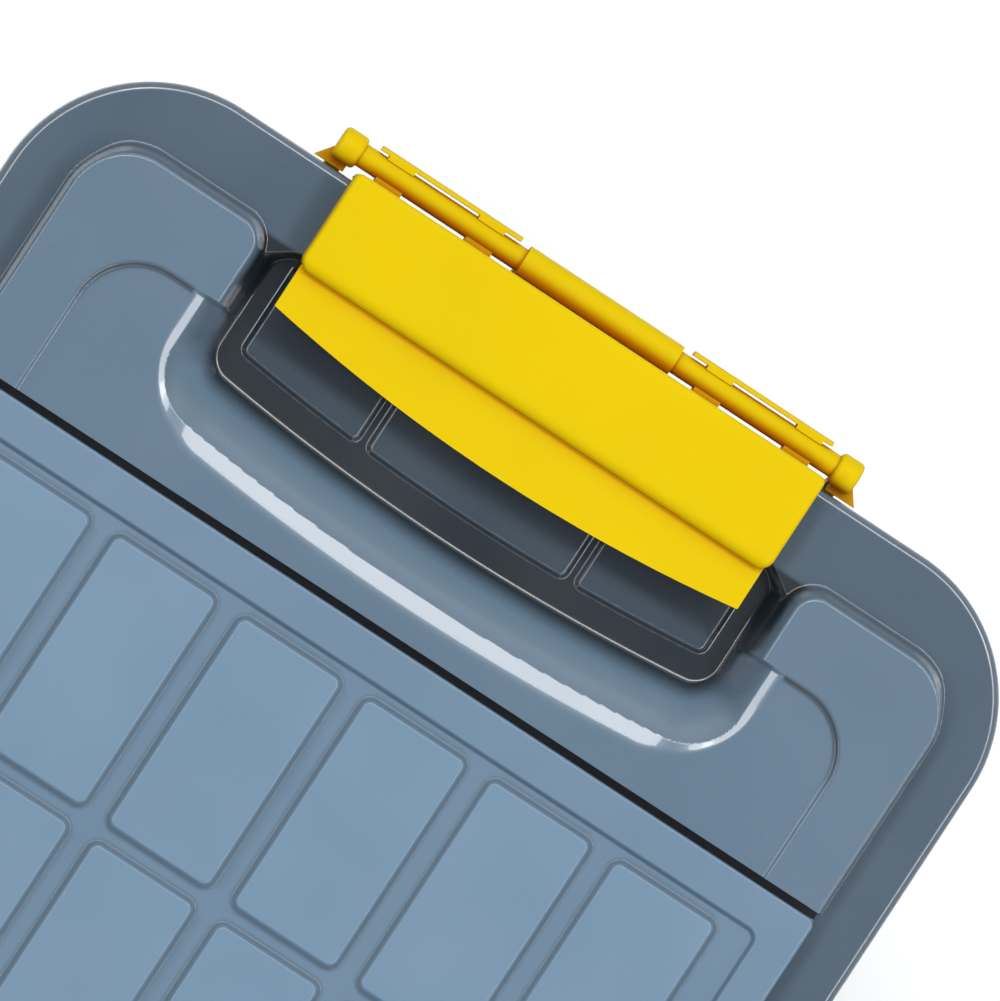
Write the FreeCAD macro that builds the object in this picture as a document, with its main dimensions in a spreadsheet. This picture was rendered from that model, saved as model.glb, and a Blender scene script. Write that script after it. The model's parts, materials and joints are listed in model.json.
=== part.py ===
import FreeCAD, Part
import math
import os
import re
import Sketcher

# A large storage toolbox with a lift-out tray. Millimetres, X along the box, Y across it, Z up.
# The origin is the middle of the footprint, on the surface that the feet stand on.

os.makedirs("parts", exist_ok=True)
doc = FreeCAD.newDocument("toolbox_with_tray")
sheet = doc.addObject("Spreadsheet::Sheet", "sizes")

SIZES = {
    # how far joined shapes reach into each other, and cutters past a surface
    "bite": 1.0,
    # keeps two faces from lying in one plane
    "sliver": 0.01,
    # the lid and its outer shape
    "lid_length": 615.0,
    "lid_width": 375.0,
    "lid_corner": 55.0,
    "plateau_top": 320.0,
    "plateau_rise": 10.0,
    "lid_wall": 2.6,
    "flange_thick": 3.0,
    "skirt_drop": 20.0,
    "rim_round": 2.8,
    "flange_side": 20.4,
    "flange_end": 29.0,
    "plateau_corner": 21.5,
    # the stepped-down part of each end of the lid
    "step_depth": 1.5,
    "step_start": 57.3,
    "step_half_width": 145.3,
    "step_corner": 22.0,
    # the hand recess under each latch
    "recess_depth": 20.0,
    "recess_half_width": 98.7,
    "recess_mouth": 104.7,
    "recess_foot": 80.4,
    "recess_foot_radius": 750.0,
    "recess_brow": 104.0,
    "recess_brow_radius": 800.0,
    "recess_shoulder": 6.0,
    "recess_start": 29.0,
    # the hatch, between its two gaps
    "gap_start": 115.7,
    "gap_width": 2.75,
    "hatch_corner": 3.0,
    "hatch_lift": 2.0,
    "ledge_width": 14.0,
    "field_inset": 13.0,
    "field_depth": 1.8,
    "field_corner": 4.5,
    "panel_wall": 2.6,
    "block_width": 42.1,
    "block_pitch": 48.4,
    "block_length": 83.2,
    "block_row_pitch": 86.95,
    "block_corner": 4.7,
    "block_rise": 1.5,
    "block_edge": 1.2,
    "tab_width": 90.0,
    "tab_reach": 9.0,
    "tab_thick": 3.0,
    # the hatch hinges
    "hinge_spacing": 220.0,
    "hinge_offset": 5.0,
    "hinge_height": 5.0,
    "hinge_radius": 4.5,
    "hinge_pin_radius": 1.5,
    "hinge_hatch_half": 15.5,
    "hinge_gap": 0.5,
    "hinge_lid_knuckle": 14.0,
    # the seals
    "seal_width": 5.0,
    "seal_inset": 1.0,
    "seal_thick": 2.0,
    # the tub
    "rim_gap": 1.0,
    "rim_thick": 6.0,
    "rim_reach": 14.0,
    "tub_wall": 3.0,
    "tub_corner": 45.0,
    "tub_base_corner": 30.0,
    "tub_draft": 20.0,
    "base_round": 5.0,
    "belt_reach": 3.0,
    "belt_height": 10.0,
    "belt_low": 78.0,
    "belt_high": 148.0,
    "foot_height": 5.0,
    "foot_radius": 20.0,
    "foot_stud": 4.0,
    "foot_inset": 52.0,
    "foot_bevel": 1.5,
    "rib_thick": 4.0,
    "rib_depth": 46.0,
    "rib_reach": 10.0,
    "grip_width": 130.0,
    "grip_reach": 22.0,
    "grip_thick": 4.0,
    "grip_lip": 14.0,
    "grip_height": 196.0,
    # the latches
    "rod_radius": 4.05,
    "rod_out": 8.8,
    "rod_drop": 17.0,
    "pivot_drop": 62.0,
    "pivot_back": 16.3,
    "link_half": 101.0,
    "link_thick": 3.0,
    "end_knuckle": 8.6,
    "end_knuckle_radius": 5.75,
    "mid_knuckle_half": 29.8,
    "mid_knuckle_radius": 5.6,
    "window_drop": 36.0,
    "arm_inner": 94.4,
    "arm_outer": 100.0,
    "arm_rib": 3.0,
    "arm_foot": 12.0,
    "gusset_outer": 105.4,
    "gusset_gap": 0.8,
    "gusset_drop": 2.0,
    "knuckle_round": 1.6,
    "pivot_pin_radius": 2.5,
    "pivot_knuckle_radius": 5.0,
    "ear_thick": 8.0,
    "ear_inner": 40.0,
    "ear_outer": 93.0,
    "ear_radius": 6.0,
    "ear_root": 12.0,
    "ear_drop": 30.0,
    "ear_slope_run": 0.6,
    "ear_slope_fall": 0.8,
    "side_play": 0.5,
    "flap_half": 90.9,
    "flap_rise": 2.0,
    "flap_thick": 2.6,
    "flap_reach": 32.8,
    "flap_edge_gap": 0.9,
    "flap_lift": 0.6,
    "lip_half": 89.8,
    "lip_reach": 54.7,
    "lip_radius": 570.0,
    "lip_drop": 6.0,
    "lip_rise": 1.5,
    "flap_roll": 4.5,
    "flap_round": 1.5,
    "flap_corner": 2.5,
    "clip_radius": 6.5,
    "clip_mouth": 6.6,
    "clip_top": 2.8,
    "clip_slit": 0.8,
    "clip_inner": 33.6,
    "clip_outer": 87.9,
    "hook_inner": 39.5,
    "hook_outer": 84.5,
    "hook_width": 10.0,
    "cap_radius": 4.5,
    "cap_length": 4.0,
    "cap_grip": 3.0,
    # the tray
    "tray_length": 350.0,
    "tray_width": 300.0,
    "tray_depth": 60.0,
    "tray_top": 215.0,
    "tray_wall": 2.5,
    "tray_corner": 12.0,
    "tray_rim": 8.0,
    "tray_rim_thick": 3.0,
    "spine_thick": 8.0,
    "tray_play": 2.5,
    "ledge_drop": 10.0,
    "divider_thick": 2.5,
    "divider_drop": 8.0,
    "divider_spacing": 58.0,
    "guide_thick": 2.0,
    "guide_reach": 3.0,
    "guide_sink": 0.5,
    "divider_room": 2.0,
    "slot_play": 0.2,
    "lug_spacing": 124.0,
    "lug_thick": 6.0,
    "lug_rise": 12.0,
    "lug_cap": 1.0,
    "bail_reach": 36.0,
    "bail_bar": 8.0,
    "bail_stub_radius": 2.5,
    "bail_corner": 3.5,
    "bail_round": 2.0,
    # running clearance of a pin or stub in its hole
    "pin_play": 0.05,
    "pin_round": 0.4,
}

for row, (name, size) in enumerate(SIZES.items(), start=1):
    sheet.set("A%d" % row, name)
    sheet.set("B%d" % row, "%g" % size)
    sheet.setAlias("B%d" % row, name)

# Places that several sub-parts share, each worked out from the driving sizes.
PLACES = {
    "lid_end": "lid_length / 2",
    "flange_top": "plateau_top - plateau_rise",
    "flange_under": "flange_top - flange_thick",
    "plateau_half_width": "lid_width / 2 - flange_side",
    "plateau_half_length": "lid_length / 2 - flange_end",
    "step_floor": "plateau_top - step_depth",
    "recess_floor": "plateau_top - recess_depth",
    "gap_place": "lid_length / 2 - gap_start",
    "hatch_half_length": "lid_length / 2 - gap_start - gap_width",
    "hatch_base": "flange_top + hatch_lift",
    "field_top": "plateau_top - field_depth",
    "panel_under": "plateau_top - field_depth - panel_wall",
    "hinge_y": "plateau_half_width + hinge_offset",
    "hinge_z": "plateau_top - hinge_height",
    "rim_top": "flange_under - seal_thick",
    "rim_length": "lid_length - 2 * (lid_wall + rim_gap)",
    "rim_width": "lid_width - 2 * (lid_wall + rim_gap)",
    "tub_length": "rim_length - 2 * rim_reach",
    "tub_width": "rim_width - 2 * rim_reach",
    "tub_slope": "tub_draft / (rim_top - foot_height)",
    "ledge_sink": "tub_slope * (rim_top - tray_top + ledge_drop) + tub_wall / 2",
    "rod_x": "lid_length / 2 + rod_out",
    "rod_z": "plateau_top - rod_drop",
    "pivot_x": "rod_x - pivot_back",
    "pivot_z": "rod_z - pivot_drop",
    "flap_top": "plateau_top + flap_rise",
    "flap_under": "flap_top - flap_thick",
    "flap_face": "lid_end + flap_edge_gap",
    "tray_base": "tray_top - tray_depth",
    "bail_z": "tray_top + lug_rise - bail_bar / 2 - lug_cap",
    "hinge_end": "hinge_hatch_half + hinge_gap + hinge_lid_knuckle",
    "pin_reach": "ear_outer + ear_thick",
}
first_place = len(SIZES) + 2
for row, (name, formula) in enumerate(PLACES.items(), start=first_place):
    sheet.set("A%d" % row, name)
    sheet.set("B%d" % row, "=" + formula)
    sheet.setAlias("B%d" % row, name)
doc.recompute()

NAMES = re.compile(r"\b(%s)\b" % "|".join(list(SIZES) + list(PLACES)))


def cells(formula):
    """The formula with each size's name turned into a reference to its cell."""
    return NAMES.sub(r"sizes.\1", str(formula))


def value(formula):
    """The number that a formula of sizes comes to now."""
    return float(sheet.evalExpression(cells(formula)))


def bind(thing, **formulas):
    """Binds properties to formulas of sizes; x, y and z are the placement's."""
    for prop, formula in formulas.items():
        path = ".Placement.Base." + prop if prop in ("x", "y", "z") else prop
        thing.setExpression(path, cells(formula))


def box(x, y, z, length, width, height):
    """A box from its low corner, with every place and size a formula."""
    thing = doc.addObject("Part::Box", "block")
    bind(thing, x=x, y=y, z=z, Length=length, Width=width, Height=height)
    return thing


def across(x, y, z, length, width, height):
    """A box that is centred on y and starts at x and z."""
    return box(x, "(%s) - (%s) / 2" % (y, width), z, length, width, height)


def upright(x, y, z, radius, height):
    """A cylinder along Z."""
    thing = doc.addObject("Part::Cylinder", "post")
    bind(thing, x=x, y=y, z=z, Radius=radius, Height=height)
    return thing


def bar_y(x, y, z, radius, length):
    """A cylinder along +Y that starts at y."""
    thing = doc.addObject("Part::Cylinder", "bar")
    thing.Placement.Rotation = FreeCAD.Rotation(FreeCAD.Vector(1, 0, 0), -90)
    bind(thing, x=x, y=y, z=z, Radius=radius, Height=length)
    return thing


def bar_x(x, y, z, radius, length):
    """A cylinder along +X that starts at x."""
    thing = doc.addObject("Part::Cylinder", "bar")
    thing.Placement.Rotation = FreeCAD.Rotation(FreeCAD.Vector(0, 1, 0), 90)
    bind(thing, x=x, y=y, z=z, Radius=radius, Height=length)
    return thing


def fuse(*things):
    """The union of several shapes."""
    thing = doc.addObject("Part::MultiFuse", "joined")
    thing.Shapes = list(things)
    return thing


def cut(base, *tools):
    """The base with every tool's shape taken away."""
    thing = doc.addObject("Part::Cut", "cut")
    thing.Base = base
    thing.Tool = tools[0] if len(tools) == 1 else fuse(*tools)
    return thing


def common(first, second):
    """What two shapes share."""
    thing = doc.addObject("Part::Common", "common")
    thing.Base = first
    thing.Tool = second
    return thing


def place(sketch, name, first, end, formula, direction):
    """Holds one end of a sketch's edge at a formula's distance from the origin."""
    index = sketch.addConstraint(Sketcher.Constraint(direction, -1, 1, first, end, value(formula)))
    sketch.renameConstraint(index, name)
    sketch.setExpression("Constraints." + name, cells(formula))


def rounded(sketch, length, width, corner, middle="0"):
    """Draws a rounded rectangle, centred on y = 0 and on x = middle."""
    half_l = value(length) / 2
    half_w = value(width) / 2
    turn = value(corner)
    shift = value(middle)
    vector = FreeCAD.Vector
    corners = [(1, 1), (-1, 1), (-1, -1), (1, -1)]
    arcs = []
    for index, (sx, sy) in enumerate(corners):
        centre = vector(shift + sx * (half_l - turn), sy * (half_w - turn), 0)
        circle = Part.Circle(centre, vector(0, 0, 1), turn)
        start = index * math.pi / 2
        arcs.append(sketch.addGeometry(Part.ArcOfCircle(circle, start, start + math.pi / 2)))
    sides = []
    for index in range(4):
        start = sketch.getPoint(arcs[index], 2)
        end = sketch.getPoint(arcs[(index + 1) % 4], 1)
        sides.append(sketch.addGeometry(Part.LineSegment(start, end)))
    for index in range(4):
        sketch.addConstraint(Sketcher.Constraint("Tangent", arcs[index], 2, sides[index], 1))
        sketch.addConstraint(Sketcher.Constraint("Tangent", sides[index], 2, arcs[(index + 1) % 4], 1))
    for index, direction in enumerate(("Horizontal", "Vertical", "Horizontal", "Vertical")):
        sketch.addConstraint(Sketcher.Constraint(direction, sides[index]))
    for index in range(1, 4):
        sketch.addConstraint(Sketcher.Constraint("Equal", arcs[0], arcs[index]))
    index = sketch.addConstraint(Sketcher.Constraint("Radius", arcs[0], turn))
    sketch.renameConstraint(index, "turn")
    sketch.setExpression("Constraints.turn", cells(corner))
    place(sketch, "back", sides[0], 1, "(%s) / 2" % width, "DistanceY")
    place(sketch, "front", sides[2], 1, "-(%s) / 2" % width, "DistanceY")
    place(sketch, "left", sides[1], 1, "(%s) - (%s) / 2" % (middle, length), "DistanceX")
    place(sketch, "right", sides[3], 1, "(%s) + (%s) / 2" % (middle, length), "DistanceX")


def polygon(sketch, points):
    """Draws a closed outline of straight edges, each corner held by two formulas."""
    vector = FreeCAD.Vector
    spots = [vector(value(x), value(y), 0) for x, y in points]
    edges = []
    for index, start in enumerate(spots):
        end = spots[(index + 1) % len(spots)]
        edges.append(sketch.addGeometry(Part.LineSegment(start, end)))
    for index, edge in enumerate(edges):
        following = edges[(index + 1) % len(edges)]
        sketch.addConstraint(Sketcher.Constraint("Coincident", edge, 2, following, 1))
    for index, (x, y) in enumerate(points):
        place(sketch, "x%d" % index, edges[index], 1, x, "DistanceX")
        place(sketch, "y%d" % index, edges[index], 1, y, "DistanceY")


def flat_sketch(z):
    """A sketch on a level plane at z."""
    sketch = doc.addObject("Sketcher::SketchObject", "outline")
    bind(sketch, z=z)
    return sketch


def extruded(sketch, height):
    """An upright prism on a level sketch."""
    thing = doc.addObject("Part::Extrusion", "slab")
    thing.Base = sketch
    thing.DirMode = "Custom"
    thing.Dir = FreeCAD.Vector(0, 0, 1)
    thing.Solid = True
    bind(thing, LengthFwd=height)
    return thing


def slab(length, width, corner, z, height, middle="0"):
    """An upright prism on a rounded rectangle."""
    sketch = flat_sketch(z)
    rounded(sketch, length, width, corner, middle)
    return extruded(sketch, height)


def ring(length, width, corner, thick, z, height):
    """A rounded rectangular ring, thick wide inside its outline."""
    inner = slab(
        "(%s) - 2 * (%s)" % (length, thick),
        "(%s) - 2 * (%s)" % (width, thick),
        "(%s) - (%s)" % (corner, thick),
        z,
        height,
    )
    return cut(slab(length, width, corner, z, height), inner)


def side_prism(points, y, width):
    """A prism along Y, centred on y, on an outline in X and Z."""
    sketch = doc.addObject("Sketcher::SketchObject", "profile")
    sketch.Placement.Rotation = FreeCAD.Rotation(FreeCAD.Vector(1, 0, 0), 90)
    bind(sketch, y="(%s) - (%s) / 2" % (y, width))
    polygon(sketch, points)
    thing = doc.addObject("Part::Extrusion", "prism")
    thing.Base = sketch
    thing.DirMode = "Custom"
    thing.Dir = FreeCAD.Vector(0, 1, 0)
    thing.Solid = True
    bind(thing, LengthFwd=width)
    return thing


def tapered(low, high):
    """A solid between two level rounded rectangles, each (length, width, corner, z)."""
    sections = []
    for length, width, corner, z in (low, high):
        sketch = flat_sketch(z)
        rounded(sketch, length, width, corner)
        sections.append(sketch)
    thing = doc.addObject("Part::Loft", "taper")
    thing.Sections = sections
    thing.Solid = True
    thing.Ruled = True
    return thing


def fillet(base, radius, chosen):
    """Rounds the edges of base that chosen picks."""
    doc.recompute()
    thing = doc.addObject("Part::Fillet", "rounded")
    thing.Base = base
    picked = [i for i, edge in enumerate(base.Shape.Edges, start=1) if chosen(edge)]
    thing.Edges = [(i, value(radius), value(radius)) for i in picked]
    doc.recompute()
    return thing


def finish(thing, label, turn=0):
    """Names a sub-part, and turns the one at the far end of the box round to face it."""
    thing.Label = label
    if turn:
        thing.Placement = FreeCAD.Placement(
            FreeCAD.Vector(0, 0, 0), FreeCAD.Rotation(FreeCAD.Vector(0, 0, 1), turn)
        )
    nodes.append(thing)


def level(edge, z):
    """True for an edge that lies in the level plane at z."""
    bounds = edge.BoundBox
    return abs(bounds.ZMin - z) < 0.01 and abs(bounds.ZMax - z) < 0.01


nodes = []


# The tub: a tapered box with a rolled rim, ledges for the tray, grips and the latches' ears.
RIBS_A_SIDE = 7


def make_tub():
    outer = tapered(
        ("tub_length - 2 * tub_draft", "tub_width - 2 * tub_draft", "tub_base_corner", "foot_height"),
        ("tub_length", "tub_width", "tub_corner", "rim_top"),
    )
    inner = tapered(
        (
            "tub_length - 2 * (tub_draft + tub_wall)",
            "tub_width - 2 * (tub_draft + tub_wall)",
            "tub_base_corner - tub_wall",
            "foot_height + tub_wall",
        ),
        ("tub_length - 2 * tub_wall", "tub_width - 2 * tub_wall", "tub_corner - tub_wall", "rim_top"),
    )
    outer = fillet(outer, "base_round", lambda edge: level(edge, value("foot_height")))
    rim = slab(
        "rim_length", "rim_width", "lid_corner - lid_wall - rim_gap", "rim_top - rim_thick", "rim_thick"
    )
    belts = [belt("belt_low"), belt("belt_high")]
    ribs = []
    for side in (-1, 1):
        for number in range(1, RIBS_A_SIDE + 1):
            ribs.append(
                box(
                    "(%d / %d - 1 / 2) * tub_length - rib_thick / 2" % (number, RIBS_A_SIDE + 1),
                    "tub_width / 2 - tub_wall - bite" if side > 0 else "-(tub_width / 2 + rib_reach)",
                    "rim_top - rim_thick - rib_depth",
                    "rib_thick",
                    "rib_reach + tub_wall + bite",
                    "rib_depth",
                )
            )
    ears = []
    for place_y in ("ear_inner + ear_thick / 2", "ear_outer + ear_thick / 2"):
        for side in ("", "-"):
            ears.append(make_ear("%s(%s)" % (side, place_y)))
    ends = ears + make_grips()
    far_ends = [mirror(thing) for thing in ends]
    outside = fuse(outer, rim, *(belts + ribs + ends + far_ends))
    hollow = cut(outside, inner)
    ledges = []
    for side in (-1, 1):
        ledges.append(
            box(
                "-(tray_length / 2 + 2 * tray_rim)",
                "tray_width / 2 + tray_play" if side > 0 else "-(tub_width / 2 - ledge_sink)",
                "tray_top - tray_rim_thick - ledge_drop",
                "tray_length + 4 * tray_rim",
                "tub_width / 2 - ledge_sink - tray_width / 2 - tray_play",
                "ledge_drop",
            )
        )
        for end in (-1, 1):
            ledges.append(
                box(
                    "tray_length / 2 + tray_rim + tray_play"
                    if end > 0
                    else "-(tray_length / 2 + 2 * tray_rim)",
                    "tray_width / 2 + tray_play" if side > 0 else "-(tub_width / 2 - ledge_sink)",
                    "tray_top - tray_rim_thick",
                    "tray_rim - tray_play",
                    "tub_width / 2 - ledge_sink - tray_width / 2 - tray_play",
                    "2 * tray_rim_thick",
                )
            )
    holes = []
    for x, y in foot_places():
        holes.append(upright(x, y, "foot_height - bite", "foot_stud", "tub_wall + 2 * bite"))
    finish(cut(fuse(hollow, *ledges), *holes), "tub")


def belt(z):
    """A stiffening band round the tub's tapered wall, from z up."""
    levels = []
    for height in (z, "%s + belt_height" % z):
        inward = "tub_slope * (rim_top - (%s))" % height
        share = "(rim_top - (%s)) / (rim_top - foot_height)" % height
        levels.append(
            (
                "tub_length - 2 * %s + 2 * belt_reach" % inward,
                "tub_width - 2 * %s + 2 * belt_reach" % inward,
                "tub_corner - (tub_corner - tub_base_corner) * %s + belt_reach" % share,
                height,
            )
        )
    return tapered(*levels)


def foot_places():
    """Where the four feet stand, as formulas for x and y."""
    x = "(tub_length / 2 - tub_draft - foot_inset)"
    y = "(tub_width / 2 - tub_draft - foot_inset)"
    return [(a + x, b + y) for a in ("", "-") for b in ("", "-")]


def make_ear(y):
    """One ear of a latch's lower hinge, out from the end wall, with the pin's hole."""
    points = [
        ("tub_length / 2 - ear_root", "pivot_z - ear_drop"),
        ("pivot_x + ear_slope_run * ear_radius", "pivot_z - ear_slope_fall * ear_radius"),
        ("pivot_x", "pivot_z + ear_radius"),
        ("tub_length / 2 - ear_root", "pivot_z + ear_radius"),
    ]
    body = side_prism(points, y, "ear_thick")
    nose = bar_y("pivot_x", "(%s) - ear_thick / 2" % y, "pivot_z", "ear_radius", "ear_thick")
    hole = bar_y(
        "pivot_x",
        "(%s) - ear_thick / 2 - bite" % y,
        "pivot_z",
        "pivot_pin_radius + pin_play",
        "ear_thick + 2 * bite",
    )
    return cut(fuse(body, nose), hole)


def make_grips():
    """A moulded hand grip on the end wall: a ledge with a turned-down lip."""
    points = [
        ("tub_length / 2 - tub_draft / 2 - grip_thick", "grip_height"),
        ("tub_length / 2 - tub_draft / 2 + grip_reach", "grip_height"),
        ("tub_length / 2 - tub_draft / 2 + grip_reach", "grip_height - grip_lip"),
        ("tub_length / 2 - tub_draft / 2 + grip_reach - grip_thick", "grip_height - grip_lip"),
        ("tub_length / 2 - tub_draft / 2 + grip_reach - grip_thick", "grip_height - grip_thick"),
        ("tub_length / 2 - tub_draft / 2 - grip_thick", "grip_height - grip_thick"),
    ]
    ledge = side_prism(points, "0", "grip_width")
    cheeks = []
    for side in ("", "-"):
        cheeks.append(
            side_prism(
                [
                    ("tub_length / 2 - tub_draft / 2 - grip_thick", "grip_height"),
                    ("tub_length / 2 - tub_draft / 2 + grip_reach", "grip_height"),
                    ("tub_length / 2 - tub_draft / 2 + grip_reach", "grip_height - grip_lip"),
                    ("tub_length / 2 - tub_draft / 2 - grip_thick", "grip_height - 2 * grip_lip"),
                ],
                "%s(grip_width / 2 - grip_thick / 2)" % side,
                "grip_thick",
            )
        )
    return [fuse(ledge, *cheeks)]


def mirror(thing):
    """The same shape at the far end of the box."""
    copy = doc.addObject("Part::Mirroring", "mirrored")
    copy.Source = thing
    copy.Base = FreeCAD.Vector(0, 0, 0)
    copy.Normal = FreeCAD.Vector(1, 0, 0)
    return copy


make_tub()


# The feet: rubber discs, each with a stud through the tub's floor.
def make_feet():
    for number, (x, y) in enumerate(foot_places(), start=1):
        body = doc.addObject("PartDesign::Body", "foot")
        plane = [o for o in body.Origin.OriginFeatures if o.Role == "XZ_Plane"][0]
        sketch = body.newObject("Sketcher::SketchObject", "half_section")
        sketch.AttachmentSupport = [(plane, "")]
        sketch.MapMode = "FlatFace"
        polygon(
            sketch,
            [
                ("0", "0"),
                ("foot_radius - foot_bevel", "0"),
                ("foot_radius", "foot_height"),
                ("foot_stud - pin_play", "foot_height"),
                ("foot_stud - pin_play", "foot_height + tub_wall - pin_play"),
                ("0", "foot_height + tub_wall - pin_play"),
            ],
        )
        turned = body.newObject("PartDesign::Revolution", "turned")
        turned.Profile = sketch
        turned.ReferenceAxis = (sketch, ["V_Axis"])
        turned.Angle = 360
        body.Tip = turned
        bind(body, x=x, y=y)
        body.Label = "foot_%d" % number
        nodes.append(body)


# The lid frame: flange, skirt, the two raised ends with their recesses, and the hatch's ledge.
def make_lid_frame():
    outside = slab("lid_length", "lid_width", "lid_corner", "flange_top - skirt_drop", "skirt_drop")
    plateau = slab(
        "2 * plateau_half_length",
        "2 * plateau_half_width",
        "plateau_corner",
        "flange_under",
        "plateau_rise + flange_thick",
    )
    under = slab(
        "lid_length - 2 * lid_wall",
        "lid_width - 2 * lid_wall",
        "lid_corner - lid_wall",
        "flange_top - skirt_drop",
        "skirt_drop - flange_thick",
    )
    shell = fillet(outside, "rim_round", lambda edge: level(edge, value("flange_top")))
    shell = fuse(cut(shell, under), plateau)
    hollows = [end_hollow(), mirror(end_hollow())]
    opening = [
        across(
            "-gap_place", "0", "flange_top", "2 * gap_place", "2 * plateau_half_width", "plateau_rise"
        ),
        across(
            "-(gap_place - ledge_width)",
            "0",
            "flange_under - bite",
            "2 * (gap_place - ledge_width)",
            "2 * (plateau_half_width - ledge_width)",
            "flange_thick + 2 * bite",
        ),
    ]
    steps = [end_step(), mirror(end_step())]
    shell = cut(shell, *(hollows + opening + steps))
    basin = recess("lid_wall", "lid_wall")
    shell = fuse(shell, basin, mirror(basin), *lid_knuckles())
    scoop = recess("0", "0")
    front = across(
        "lid_end - recess_start",
        "0",
        "flange_top",
        "recess_start",
        "2 * (recess_mouth + plateau_rise)",
        "plateau_rise",
    )
    bores = []
    for middle in hinge_places():
        bores.append(
            bar_x(
                "%s - hinge_end - bite" % middle,
                "hinge_y",
                "hinge_z",
                "hinge_pin_radius + pin_play",
                "2 * (hinge_end + bite)",
            )
        )
    finish(cut(shell, scoop, mirror(scoop), front, mirror(front), *bores), "lid_frame")


def end_hollow():
    """The space inside one raised end, open from below."""
    return slab(
        "plateau_half_length - gap_place - 2 * lid_wall",
        "2 * (plateau_half_width - lid_wall)",
        "plateau_corner - lid_wall",
        "flange_top - skirt_drop",
        "skirt_drop + plateau_rise - step_depth - lid_wall",
        "(plateau_half_length + gap_place) / 2",
    )


def end_step():
    """The shallow step down from the raised border to the middle of one end."""
    return slab(
        "gap_start - step_start + step_corner + bite",
        "2 * step_half_width",
        "step_corner",
        "step_floor",
        "step_depth + bite",
        "lid_end - step_start - (gap_start - step_start + step_corner + bite) / 2",
    )


def recess(wall, drop):
    """The hand recess: a scoop between a foot outline and a wider one at the top."""
    sections = []
    levels = [
        (
            "recess_half_width + %s" % wall,
            "recess_foot + %s" % wall,
            "recess_foot_radius",
            "recess_floor - %s" % drop,
        ),
        (
            "recess_mouth + recess_shoulder + %s" % wall,
            "recess_brow + %s" % wall,
            "recess_brow_radius",
            "plateau_top - %s" % drop,
        ),
    ]
    for half, reach, radius, z in levels:
        sketch = flat_sketch(z)
        scoop_outline(sketch, half, "recess_start - %s" % wall, reach, radius)
        sections.append(sketch)
    thing = doc.addObject("Part::Loft", "scoop")
    thing.Sections = sections
    thing.Solid = True
    thing.Ruled = True
    return thing


def scoop_outline(sketch, half, start, reach, radius):
    """Three straight sides and a shallow arc: half wide each way, from start to reach inward."""
    vector = FreeCAD.Vector
    front = value("lid_end - (%s)" % start)
    centre = value("lid_end - (%s) + %s" % (reach, radius))
    side = value(half)
    turn = value(radius)
    swing = math.asin(side / turn)
    back = centre - turn * math.cos(swing)
    circle = Part.Circle(vector(centre, 0, 0), vector(0, 0, 1), turn)
    arc = sketch.addGeometry(Part.ArcOfCircle(circle, math.pi - swing, math.pi + swing))
    low = sketch.addGeometry(Part.LineSegment(vector(back, -side, 0), vector(front, -side, 0)))
    end = sketch.addGeometry(Part.LineSegment(vector(front, -side, 0), vector(front, side, 0)))
    high = sketch.addGeometry(Part.LineSegment(vector(front, side, 0), vector(back, side, 0)))
    sketch.addConstraint(Sketcher.Constraint("Coincident", arc, 2, low, 1))
    sketch.addConstraint(Sketcher.Constraint("Coincident", low, 2, end, 1))
    sketch.addConstraint(Sketcher.Constraint("Coincident", end, 2, high, 1))
    sketch.addConstraint(Sketcher.Constraint("Coincident", high, 2, arc, 1))
    sketch.addConstraint(Sketcher.Constraint("PointOnObject", arc, 3, -1))
    sketch.addConstraint(Sketcher.Constraint("Horizontal", low))
    sketch.addConstraint(Sketcher.Constraint("Horizontal", high))
    place(sketch, "front_low", end, 1, "lid_end - (%s)" % start, "DistanceX")
    place(sketch, "front_high", end, 2, "lid_end - (%s)" % start, "DistanceX")
    place(sketch, "low", end, 1, "-(%s)" % half, "DistanceY")
    place(sketch, "high", end, 2, half, "DistanceY")
    place(sketch, "centre", arc, 3, "lid_end - (%s) + %s" % (reach, radius), "DistanceX")
    index = sketch.addConstraint(Sketcher.Constraint("Radius", arc, turn))
    sketch.renameConstraint(index, "turn")
    sketch.setExpression("Constraints.turn", cells(radius))


def hinge_places():
    """The middles of the hatch's two hinges along X."""
    return ("-hinge_spacing / 2", "hinge_spacing / 2")


def lid_knuckles():
    """The lid's knuckles, a pair each side of every knuckle of the hatch."""
    things = []
    for middle in hinge_places():
        for start in ("%s - hinge_end" % middle, "%s + hinge_hatch_half + hinge_gap" % middle):
            things.append(bar_x(start, "hinge_y", "hinge_z", "hinge_radius", "hinge_lid_knuckle"))
            things.append(
                box(
                    start,
                    "hinge_y - hinge_radius",
                    "flange_top - bite",
                    "hinge_lid_knuckle",
                    "2 * hinge_radius",
                    "hinge_z - flange_top + bite",
                )
            )
    return things


# The hinge pins, held in the lid's knuckles.
def make_hinge_pins():
    for number, middle in enumerate(hinge_places(), start=1):
        pin = bar_x("%s - hinge_end" % middle, "hinge_y", "hinge_z", "hinge_pin_radius", "2 * hinge_end")
        pin = fillet(pin, "pin_round", lambda edge: edge.BoundBox.XLength < 0.01)
        finish(pin, "hatch_hinge_pin_%d" % number)


# The hatch: a hollow panel with a sunken field and rows of raised blocks.
BLOCK_ROWS = 4
BLOCKS_ACROSS = 6


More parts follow.
